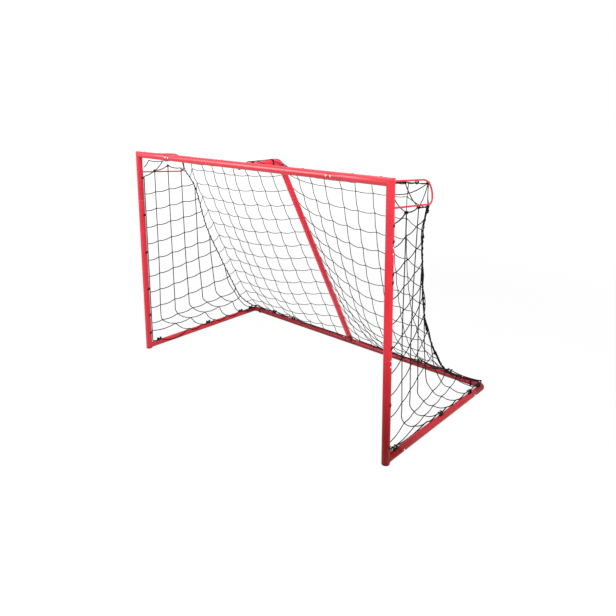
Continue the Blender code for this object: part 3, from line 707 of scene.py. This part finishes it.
# Each hook's outline is drawn across its bar: the bar's top is at 0, and the rope lies inwards.
claw = [(0.0035, 0.0010), *arc((0.0010, 0.0130), 0.0025, 0, 90),
        *arc((-0.0112, 0.0125), 0.0030, 90, 180), (-0.0140, 0.0112), (-0.0129, 0.0110),
        *arc((-0.0112, 0.0117), 0.0009, 170, 90, 4), *arc((-0.0052, 0.0109), 0.0017, 90, 0, 4),
        (-0.0035, 0.0010)]
saddle = [*arc((0, -base_r), base_r + saddle_thick, 112, 68, 9),
          *arc((0, -base_r), base_r + saddle_fit, 68, 112, 9)]
hooks = [f"net_hook_{word}_{number}" for word in ("left", "right") for number in (1, 2, 3, 4)]
hooks += [f"net_hook_back_{word}_{number}" for word in ("left", "right") for number in (1, 2)]
hook_places = {}
for node in hooks:
    at = middle(node)
    if "back" in node:
        along, inward = rightwards, rear
        at[1] = back_y
    else:
        side = -1 if "left" in node else 1
        along, inward = rear, -side * rightwards
        at[0] = side * post_x
    at[2] = 2 * base_r
    hook_places[node] = at + inward * rope_in + np.array([0, 0, rope_rise])
    ways = (-inward, up, along)
    parts = [slab(saddle, at, ways, saddle_long, saddle_soft)]
    for shift in (-claw_shift, claw_shift):
        parts.append(slab(claw, at + along * shift, ways, claw_long, claw_soft))
    hook = piece(f"{node}_moulding", parts, plastic, sharp=50)
    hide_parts(node)


# Net clips: thin black C-shaped clips sprung on to the backs of the posts and the crossbar,
# each with a claw for the border rope.
rope_gap = 0.0055
band_thick, band_fit, band_long = 0.0021, 0.0002, 0.0105
clip_claw_long, clip_soft, post_grip, bar_grip = 0.0075, 0.0004, 98, 70
post_clips = {-1: (1.063, 0.84, 0.61, 0.380, 0.213, 0.099),
              1: (1.030, 0.966, 0.831, 0.798, 0.52, 0.27, 0.077)}
bar_clips = (-0.845, -0.70, -0.42, -0.14, 0.14, 0.42, 0.70, 0.845)
rope_spot = (main_r + rope_gap, 0)
clip_claw = arc(rope_spot, 0.0047, 150, -62, 14) + arc(rope_spot, 0.0030, -62, 150, 12)


def clip_parts(at, along, grip):
    """A clip that faces back. grip is how far round the tube it goes each way, in degrees."""
    ways = (rear, np.cross(along, rear), along)
    band = [*arc((0, 0), main_r + band_thick, -grip, grip, 25),
            *arc((0, 0), main_r + band_fit, grip, -grip, 25)]
    return [slab(band, np.array(at), ways, band_long, clip_soft),
            slab(clip_claw, np.array(at), ways, clip_claw_long, clip_soft)]


for side, word in left_right:
    parts = []
    for z in post_clips[side]:
        parts += clip_parts((side * post_x, post_y, z), up, post_grip)
    piece(f"post_{word}_net_clips", parts, plastic, sharp=50)
parts = []
for x in bar_clips:
    parts += clip_parts((x, post_y, bar_z), rightwards, bar_grip)
piece("crossbar_net_clips", parts, plastic, sharp=50)


# Net: black twisted twine knotted to square meshes of about 0.10 m, one sheet over the top
# and back and a panel at each side, laced to border ropes. Its knots are made slack and then
# hang under their own weight from the crossbar, the hoops, the stay, the posts and the hooks.
class Slack:
    """Knots joined by lengths of twine that can't stretch but can fold."""

    def __init__(self):
        self.points, self.fixed, self.links, self.lengths = [], [], [], []

    def knot(self, place, fixed=False):
        self.points.append(np.array(place, float))
        self.fixed.append(fixed)
        return len(self.points) - 1

    def strand(self, first, last, length, parts=3):
        """Twine from one knot to another, in parts, so that it can sag between them."""
        ids = [first]
        for part in range(1, parts):
            share = part / parts
            ids.append(self.knot(self.points[first] * (1 - share) + self.points[last] * share))
        ids.append(last)
        self.links += list(zip(ids, ids[1:]))
        self.lengths += [length / parts] * parts
        return ids

    def far(self, first, last):
        return np.linalg.norm(self.points[first] - self.points[last])

    def thread(self, knots, slacks):
        """Twine over a row of knots, each length longer than the way between them by its slack."""
        line = list(knots[:1])
        for first, last, slack in zip(knots, knots[1:], slacks):
            line += self.strand(first, last, self.far(first, last) * slack)[1:]
        return line

    def border(self, knots, axis, slack, long_gap=math.inf):
        """Rope over knots on a bar that runs along an axis, in more parts where they are far."""
        knots = sorted(knots, key=lambda knot: self.points[knot][axis])
        line = knots[:1]
        for first, last in zip(knots, knots[1:]):
            gap = self.points[last][axis] - self.points[first][axis]
            line += self.strand(first, last, gap * slack, 3 if gap > long_gap else 2)[1:]
        return line


net_x = post_x - rope_in
net_low = 2 * base_r + rope_rise
columns, back_rows, top_rows = 18, 14, 3
sheet_rows = back_rows + top_rows
first_mesh = 0.65
side_columns, side_rows, fold_top = 9, 11, 2
front_y, front_z = post_y + main_r + rope_gap, bar_z
edge_in, same_knot = 0.004, 0.012
stay_clear = base_r + 0.0025

# The net's crest: over the stay, over the hoop, how narrow and deep it dips at the stay, and
# its sag between the two.
crest_at_stay, crest_at_hoop = (0.288, 0.022), (0.055, 0.050)
dip_wide, dip_deep, crest_sag = 0.03, 0.040, 0.052

# The seams' way down the corners: how far inwards of the posts, y and height.
seam_places = {-1: [(0, -.120, 1.072), (.01, -.058, .957), (.02, .007, .703), (.03, .101, .486),
                    (.03, .204, .281), (.03, .272, .160), (.015, .390, .062), (0, .447, .0405)],
               1: [(0, -.138, 1.070), (.013, -.158, .955), (.047, -.096, .720),
                   (.064, -.052, .591), (.081, .004, .463), (.093, .135, .256),
                   (.074, .238, .138), (.023, .385, .060), (0, .447, .0405)]}

# The fold that the side panels lie in at the ground, its upper row and its lower one: the
# height at the post and its rise from column to column, the first column's y, and how far
# inwards it lies there and more with each column.
fold_rows = {-1: [(.155, .012, -.357, .012, .010), (.105, .010, -.261, .012, .010)],
             1: [(.098, .012, -.275, .000, .008), (.052, .009, -.195, -.004, .008)]}

# The columns' spacing in the fold and the upper row's height at the post, the first column's y
# and the spacing above the fold, the rows' rise from column to column, the border rope's
# slack, and the heights at which the top rope is tied.
fold_pitch, fold_end = {-1: .108, 1: .092}, {-1: 0.155, 1: 0.080}
hang_first, hang_pitch = {-1: -.345, 1: -.310}, {-1: .094, 1: .092}
row_rise, border_slack = {-1: 0.006, 1: 0.030}, {-1: 1.05, 1: 1.02}
top_ties = {-1: [1.070, 1.098, 1.120, 1.098], 1: [1.030, 1.062, 1.072]}


def uneven(first, second):
    """A share from 0 to 1 that differs from strand to strand."""
    return (math.sin(first * 12.9898 + second * 78.233) * 43758.5453) % 1


def ridge(across):
    """Where the net turns from its top to its back, from the stay to the hoop."""
    share = abs(across)
    bend_y, bend_z = hoop_back - hoop_bends[0], hoop_top - hoop_bends[0]
    over_stay = np.array([0, post_y + crest_at_stay[0], stay_z + crest_at_stay[1]])
    over_hoop = np.array([0, bend_y + crest_at_hoop[0], bend_z + crest_at_hoop[1]])
    point = over_stay + (over_hoop - over_stay) * share
    point[0] = across * net_x
    at_stay = math.exp(-share / dip_wide)
    point += at_stay * dip_deep * down
    point[2] -= crest_sag * (1 - at_stay) * (1 - share ** 2)
    return point


def soft_curve(places, steps):
    """A smooth curve through a few places."""
    p = np.asarray(places, float)
    p = np.concatenate([[2 * p[0] - p[1]], p, [2 * p[-1] - p[-2]]])
    shares = np.arange(steps)[:, None] / steps
    out = []
    for a, b, c, d in zip(p, p[1:], p[2:], p[3:]):
        out.append(0.5 * (2 * b + (c - a) * shares + (2 * a - 5 * b + 4 * c - d) * shares ** 2
                          + (3 * b - a - 3 * c + d) * shares ** 3))
    return np.concatenate(out + [p[-2:-1]])


# How far the back sheet hangs in front of the stay, left and right: its share of the way down,
# and the depth there in the fullest columns, then the same at the seam. The last list is the
# share of that depth over the width, from the stay to the seam.
drape = {-1: ([(0, 0), (.15, .040), (.30, .058), (.436, .070), (.58, .078), (.727, .084),
               (.87, .056), (1, 0)],
              [(0, .012), (.39, .074), (.567, .090), (.74, .092), (.844, .086), (.951, .026),
               (1, 0)],
              [(0, 0), (.11, .10), (.22, .40), (.33, .70), (.44, .95), (.56, 1.0), (.78, .95)]),
         1: ([(0, 0), (.139, .051), (.281, .098), (.418, .138), (.56, .165), (.692, .1755),
              (.85, .112), (1, 0)],
             [(0, .015), (.158, .102), (.333, .152), (.434, .170), (.539, .179), (.724, .158),
              (.839, .121), (.951, .030), (1, 0)],
             [(0, 0), (.11, .22), (.22, .47), (.33, .70), (.44, .87), (.56, 1.0), (.70, 1.0)])}


def drape_column(across):
    """Places of one column's knots, evenly spaced from the back bar up to the ridge."""
    side, share = (-1 if across < 0 else 1), abs(across)
    full, seam_depth, over_width = [np.array(rows) for rows in drape[side]]
    last_share, last_depth = over_width[-1]
    insets = np.array(seam_places[side])[::-1]
    outward = np.array([0, -down[2], down[1]])
    line = [ridge(across)]
    for t in np.linspace(0.05, 0.97, 24):
        depth = np.interp(t, *full.T)
        if share <= last_share:
            depth = depth * np.interp(share, *over_width.T) - stay_clear * max(0, 1 - share * 8)
        else:
            depth = depth * last_depth
            at_seam = np.interp(t, *seam_depth.T)
            depth += (at_seam - depth) * (share - last_share) / (1 - last_share)
        place = stay_bend + (stay_foot - stay_bend) * t - outward * depth
        inward = np.interp(place[2], insets[:, 2], insets[:, 0])
        place[0] = across * net_x - side * inward * share ** 3
        sway = [math.sin(a * t + b * across) for a, b in ((7, 31), (5, 17), (9, 23))]
        line.append(place + 0.004 * np.array(sway) * min(1, share * 6))
    line.append(np.array([across * net_x, back_y + rope_in, net_low]))
    line = soft_curve(line, 8)[::-1]
    along = run_along(line)
    meshes = back_rows - 1 + first_mesh
    at = np.append(np.arange(back_rows), meshes) * along[-1] / meshes
    return places_at(at, along, line)


class Seam:
    """The corner rope of the net, from the ground up, with the knots tied to it."""

    def __init__(self, side):
        self.line = soft_curve([(side * (net_x - inward), y, z)
                                for inward, y, z in seam_places[side][::-1]], 24)
        self.along = run_along(self.line)
        self.along /= self.along[-1]
        self.knots = {}

    def at_share(self, share):
        """The knot at a share of the way up, or a known one where that is near."""
        share = round(float(min(max(share, 0), 1)), 3)
        for known in self.knots:
            if abs(known - share) < same_knot:
                return self.knots[known]
        self.knots[share] = net.knot(places_at(share, self.along, self.line), True)
        return self.knots[share]

    def at_height(self, z):
        return self.at_share(np.interp(z, self.line[:, 2], self.along))

    def place(self, z):
        return places_at(z, self.line[:, 2], self.line)


net = Slack()
seams = {side: Seam(side) for side, _ in left_right}
lines = {"back": [], "left": [], "right": []}
ropes = {"back": [], "left": [], "right": []}
ties = []

# The sheet over the top and back, from the back bar up.
sheet, draped = {}, {}
for i in range(columns + 1):
    across = 2 * i / columns - 1
    column, crest, edge = drape_column(across), ridge(across), i in (0, columns)
    seam = seams[-1 if i == 0 else 1]
    lag = 0.45 if i == 0 else 0.15
    at_bar = np.array([across * net_x, front_y, front_z])
    for j in range(sheet_rows + 1):
        if j == 0:
            on_ground = (across * net_x, back_y + rope_in, net_low)
            sheet[i, j] = seam.at_share(0) if edge else net.knot(on_ground, i == columns // 2)
        elif j == sheet_rows:
            sheet[i, j] = net.knot(at_bar, True)
        elif edge and j < back_rows:
            sheet[i, j] = seam.at_share((j - lag) / (back_rows - 1))
        elif j <= back_rows:
            sheet[i, j] = net.knot(column[j], edge)
            draped[sheet[i, j]] = column[j]
        else:
            place = crest + (at_bar - crest) * (j - back_rows) / top_rows
            sheet[i, j] = net.knot(place - (0, 0, 0 if edge else 0.008), edge)
for i in range(columns + 1):
    edge = i in (0, columns)
    rows = range(back_rows - 1 if edge else 0, sheet_rows + 1)
    (ropes if edge else lines)["back"].append(net.thread(
        [sheet[i, j] for j in rows], [1.004 + 0.008 * uneven(j, i) for j in rows]))
for j in range(1, sheet_rows + 1):
    slacks = [1.003 + 0.014 * uneven(i, j) if j < back_rows - 1
              else 1.006 if i < columns // 2 else 1.002 for i in range(columns)]
    (ropes if j == sheet_rows else lines)["back"].append(net.thread(
        [sheet[i, j] for i in range(columns + 1)], slacks))
hoop_ends = [sheet[0, sheet_rows], sheet[columns, sheet_rows]]
border = [sheet[i, 0] for i in range(columns + 1)]
border += [net.knot(place, True) for node, place in hook_places.items() if "back" in node]
ropes["back"].append(net.border(border, 0, 1.006))

# The side panels: rows count from the ground, and columns from the post.
for side, word in left_right:
    grid, seam = {}, seams[side]
    top_z = seam_places[side][0][2]
    (fold_z, fold_rise, fold_y, _, _), low_fold = fold_rows[side]

    def height(c, r):
        if r == 0:
            return net_low
        if r == fold_top and c == 0:
            return fold_end[side]
        if r <= fold_top:
            return fold_rows[side][fold_top - r][0] + fold_rows[side][fold_top - r][1] * c
        first = fold_z + fold_rise * c
        share = (r - fold_top) / (side_rows - fold_top)
        return first + (top_z - first) * share + row_rise[side] * (c - 1) * min(1, 3 * share)

    def column_y(c, z):
        upper = hang_first[side] + hang_pitch[side] * (c - 1)
        lower = fold_y + fold_pitch[side] * (c - 1)
        return lower + (upper - lower) * min(1, max(0, (z - 0.12) / 0.4))

    def place_of(c, r):
        """Where a knot begins, or nothing where the seam or the border is too near for one."""
        z = height(c, r)
        if r == 0:
            y = low_fold[2] + fold_pitch[side] * c
            return None if y > back_y - 0.03 else (side * net_x, y, z)
        if r <= fold_top:
            _, _, begin, sink, lean = fold_rows[side][fold_top - r]
            y = begin + fold_pitch[side] * (c - 1)
            return None if y > seam.place(z)[1] - 0.04 else (side * (net_x - sink - lean * c), y, z)
        if r == side_rows:
            tied = c < len(top_ties[side])
            return (side * net_x, column_y(c, top_z), top_ties[side][c]) if tied else None
        y = column_y(c, z)
        seam_x, seam_y, _ = seam.place(z)
        if z > top_z - 0.01 or y > seam_y - 0.035:
            return None
        narrowing = abs(seam_x) - post_x + edge_in
        x = post_x - edge_in + narrowing * (y - front_y) / (seam_y - front_y)
        return side * x, y, z

    for r in range(side_rows + 1):
        z = top_ties[side][0] if r == side_rows else height(0, r)
        grid[0, r] = net.knot((side * (post_x - edge_in), front_y, z), True)
        last = 0
        for c in range(1, side_columns):
            place = place_of(c, r)
            if place:
                grid[c, r] = net.knot(place, r <= fold_top or r == side_rows)
                last = c
        grid["end", r] = (seam.at_height(min(height(last + 0.7, r), top_z)) if r > 0
                          else seam.at_share(0))
    border = [grid[c, 0] for c in (*range(side_columns), "end") if (c, 0) in grid]
    border += [net.knot(place, True) for node, place in hook_places.items()
               if node.startswith(f"net_hook_{word}")]
    ropes[word].append(net.border(border, 1, border_slack[side], 0.04))
    for r in range(1, side_rows + 1):
        row = [c for c in (*range(side_columns), "end") if (c, r) in grid]
        slacks = [1.01] * len(row)
        if fold_top < r < side_rows:
            slacks = [1.003 + 0.012 * uneven(r, c) + 0.008 * (c == 0 or beyond == "end")
                      for c, beyond in zip(row, row[1:])]
        (ropes if r == side_rows else lines)[word].append(net.thread(
            [grid[c, r] for c in row], slacks))
    for c in range(1, side_columns):
        column = [grid[c, r] for r in range(side_rows + 1) if (c, r) in grid]
        if not column:
            continue
        if (c, side_rows) not in grid:
            reaches = [z for z in np.linspace(net.points[column[-1]][2] + 0.02, top_z, 80)
                       if column_y(c, z) >= seam.place(z)[1]]
            column.append(seam.at_height(reaches[0] if reaches else top_z))
        lines[word].append(net.thread(column, [1.012] * len(column)))
    ropes[word].append([grid[0, r] for r in range(side_rows + 1)])
    ropes[word].append([seam.knots[share] for share in sorted(seam.knots)])

    # Lengths between the top sheet's edge on the hoop and the panel's top rope.
    def beside_post(back, z):
        return net.knot((side * net_x, front_y + back, z), True)

    upper = [sheet[0 if side == -1 else columns, sheet_rows - c] for c in range(top_rows + 1)]
    lower = [grid[c, side_rows] for c in (0, 1, 2, "end")]
    if side == 1:
        behind_post = beside_post(0, 1.150)
        joined = ((behind_post, upper[3]), (behind_post, lower[1]), (upper[1], lower[2]),
                  (upper[3], lower[2]), (upper[3], lower[3]))
    else:
        behind_post, near_top, near_hoop = [beside_post(back, z) for back, z in
                                            ((0, 1.125), (0.033, 1.163), (0.128, 1.152))]
        joined = ((behind_post, near_top), (near_top, near_hoop), (lower[1], near_hoop),
                  (near_hoop, upper[3]), (upper[3], lower[3]))
    lines[word] += [net.thread(pair, [1.01]) for pair in joined]
    ties += [(net.points[knot], rear, 0.0065) for knot in (*upper[1:], *lower[1:3])]

stay_line = np.array(rounded([(0, post_y, stay_z), stay_bend, stay_foot], [stay_bend_r], 6))
bars = [[(side * post_x, y, base_r) for y in (post_y, back_y)] for side, _ in left_right]
bars = np.array([*bars, [(-post_x, back_y, base_r), (post_x, back_y, base_r)]])
stay_near, ground_gap = 0.15, 0.004


def clear_of_tubes(points):
    """Keeps points on the outer side of the stay, and off the base bars and the ground."""
    nearest = np.full(len(points), 1e9)
    shift = np.zeros_like(points)
    beside = np.abs(points[:, 0]) < stay_clear
    for a, b in zip(stay_line, stay_line[1:]):
        along = unit(b - a)
        outward = np.array([0, -along[2], along[1]])
        reach = np.clip((points - a) @ along, 0, np.linalg.norm(b - a))
        off = points - (a + reach[:, None] * along)
        off[:, 0] = 0
        gap = np.linalg.norm(off, axis=1)
        need = np.sqrt(np.maximum(stay_clear ** 2 - points[:, 0] ** 2, 0)) - off @ outward
        use = beside & (gap < nearest) & (gap < stay_near)
        nearest[use] = gap[use]
        shift[use] = np.maximum(need[use], 0)[:, None] * outward
    points = points + shift
    for a, b in bars:
        along = unit(b - a)
        reach = np.clip((points - a) @ along, 0, np.linalg.norm(b - a))
        off = points - a - np.outer(reach, along)
        gap = np.maximum(np.linalg.norm(off, axis=1), 1e-6)
        points = points + off * (np.maximum(base_r + rope_r - gap, 0) / gap)[:, None]
    points[:, 2] = np.maximum(points[:, 2], ground_gap)
    return points


def hang(net):
    """The knots' places once the slack net has come to rest, its back drawn to its drape.

    It falls three times, more slowly each time, and its lengths are pulled in at every step.
    """
    points = np.array(net.points)
    before = points.copy()
    free = ~np.array(net.fixed)
    shaped = np.array(list(draped))
    shape = np.array([draped[knot] for knot in shaped])
    first, last = np.array(net.links).T
    lengths = np.array(net.lengths)
    ends = np.concatenate([first, last])
    first_free, last_free = free[first].astype(float), free[last].astype(float)
    share_out = np.maximum(first_free + last_free, 1e-9)
    easing = (1.5 / np.maximum(np.bincount(ends, minlength=len(points)), 1.5))[:, None]
    for steps, rounds, fall in ((80, 12, 8e-5), (160, 20, 1.5e-5), (120, 30, 3e-6)):
        for _ in range(steps):
            drift = (points - before) * 0.95
            before = points.copy()
            points = points + drift * free[:, None]
            points[free, 2] -= fall
            points[shaped] += (shape - points[shaped]) * 0.01
            for turn in range(rounds):
                gap = points[last] - points[first]
                length = np.sqrt((gap * gap).sum(1))
                excess = np.maximum(length - lengths, 0) / np.maximum(length, 1e-9) / share_out
                pull = gap * excess[:, None]
                both = np.concatenate([pull * first_free[:, None], -pull * last_free[:, None]])
                moved = np.stack([np.bincount(ends, both[:, axis], len(points))
                                  for axis in range(3)], 1)
                points = points + moved * easing
                if turn % 5 == 4:
                    points[free] = clear_of_tubes(points)[free]
    return points


points = hang(net)


def twine_material():
    """Black twisted polyethylene twine: fine diagonal lay, slightly waxy, in places worn grey."""
    material, where = blank_material("black_twine")
    wrap = where.node("ShaderNodeUVMap", uv_map="wrap")
    around, along = [where.node("ShaderNodeSeparateXYZ", {0: wrap}, out=axis) for axis in "XY"]
    lay = where.maths("FRACT", along * 420.0 + around * 3.0)
    groove = 1 - where.maths("ABSOLUTE", lay - 0.5) * 2
    worn = where.noise(30.0, 5.0).fade(0.5, 0.75)
    colour = (worn * 0.4).blend(from_screen(9, 9, 11), from_screen(32, 31, 33))
    where.finish_surface(colour, worn * 0.15 + 0.7, groove, 0.6, 0.0004,
                         **{"Specular IOR Level": 0.12})
    return material


twine = twine_material()
twine_r = 0.0018
panel_twine_r = {"back": twine_r, "left": 0.0026, "right": 0.0022}
knot_r, knot_reach = 0.00135, 0.0021


def knot_mesh(centre, row, column):
    """A small closed knot of the twine, lying in the plane of the two strands that it joins."""
    row = unit(row)
    normal = unit(np.cross(row, column) + (0, 1e-6, 1e-6))
    other = np.cross(normal, row)
    t = np.linspace(0, 2 * math.pi, 15)[:, None]
    path = centre + knot_reach * ((np.sin(t) + 1.5 * np.sin(2 * t)) / 2.1 * row
                                  + (np.cos(t) - 1.5 * np.cos(2 * t)) / 2.1 * other
                                  - 0.45 * np.sin(3 * t) * normal)
    return strand_skin(path, knot_r, 5, closed=True)


for word in ("back", "left", "right"):
    parts = [strand_skin(soft_curve(points[line], 2), panel_twine_r[word], 6)
             for line in lines[word]]
    crossing = {}
    for line in lines[word]:
        for before, knot, after in list(zip(line, line[1:], line[2:]))[2::3]:
            crossing.setdefault(knot, []).append(points[after] - points[before])
    parts += [knot_mesh(points[knot], *ways) for knot, ways in crossing.items() if len(ways) == 2]
    for line in ropes[word]:
        parts.append(strand_skin(soft_curve(points[line], 4),
                                 twine_r if line[-1] in hoop_ends else rope_r, 10))
    panel = piece(f"net_{word}_twine", parts, twine, sharp=80)
    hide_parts(f"net_{word}")


# Seam lacing: more twine wound along the two corner ropes, gathered thickly at the right. It is
# one long winding over the rope, and at the right three loose lengths, tied round in five places.
lacing_pitch, lacing_r, loose_r = {-1: 0.048, 1: 0.034}, 0.0015, 0.0023
loose_ways = ((0.006, 0.4), (0.0075, 2.3), (0.005, 4.1))
seam_ties = ((1.045, 5), (0.93, 3), (0.74, 3), (0.44, 5), (0.28, 3))
seam_tie_reach = 0.0062


def wraps(centre, axis, radius, turns, pitch=0.0036, thick=twine_r, lean=0.0):
    """Turns of twine wound round something."""
    axis = unit(axis)
    side = unit(np.cross(axis, (0.31, 0.22, 0.93)))
    t = np.linspace(0, turns, int(turns * 18) + 1)[:, None]
    swell = radius * (1 + 0.05 * np.sin(t * 9.1 + lean))
    path = (np.asarray(centre) + axis * ((t - turns / 2) * pitch)
            + swell * circling(2 * math.pi * t + lean, side, np.cross(axis, side)))
    path[:, 2] = np.maximum(path[:, 2], thick)
    return strand_skin(path, thick, 6)


for side, word in left_right:
    seam = seams[side]
    line = seam.line[::-1]
    along = run_along(line)
    at = np.arange(0, along[-1], 0.004)
    path = places_at(at, along, line)
    ahead = np.gradient(path, axis=0)
    ahead /= np.linalg.norm(ahead, axis=1)[:, None]
    across = np.cross(ahead, rear)
    across /= np.linalg.norm(across, axis=1)[:, None]
    other = np.cross(ahead, across)
    at = at[:, None]
    wound = (rope_r + 0.0012) * circling(at / lacing_pitch[side] * 2 * math.pi, across, other)
    parts = [strand_skin(path + wound, lacing_r, 6)]
    if side == 1:
        for turn, (wide, phase) in enumerate(loose_ways):
            loose = wide * (0.55 + 0.45 * np.sin(at * 11.0 + phase))
            loose = loose * np.minimum(1, (along[-1] - at) / 0.25)
            bend = at * (17.0 + 3 * turn) + phase
            parts.append(strand_skin(path + loose * circling(bend, across, other), loose_r, 6))
        for z, turns in seam_ties:
            rising = seam.place(z) - seam.place(z - 0.02)
            parts.append(wraps(seam.place(z), rising, seam_tie_reach, turns, 0.0034, lean=z * 40))
    piece(f"net_seam_{word}_lacing", parts, twine, sharp=80)


# Ties: short turns of twine that hold the net to the hoops, the stay and the back corners. Those
# on the hoops are thinner than the others.
hoop_tie_pitch, hoop_tie_r = 0.0034, 0.0013
stay_reach = base_r + twine_r + 0.0006
bar_tie, before_bend, below_bend, corner_tie = 0.078, 0.060, 0.055, 0.065
parts = [wraps(centre, axis, reach, 3, hoop_tie_pitch, hoop_tie_r, number)
         for number, (centre, axis, reach) in enumerate(ties)]
parts.append(wraps((0, post_y + bar_tie, stay_z), rear, stay_reach, 3))
parts.append(wraps(stay_bend - rear * before_bend, rear, stay_reach, 2, lean=1.0))
parts.append(wraps(stay_bend + down * below_bend, down, stay_reach, 3, lean=2.0))
for side, _ in left_right:
    corner_place = (side * (post_x - corner_tie), back_y, base_r)
    parts.append(wraps(corner_place, rightwards, stay_reach, 2, lean=side))
piece("net_ties", parts, twine, sharp=80)
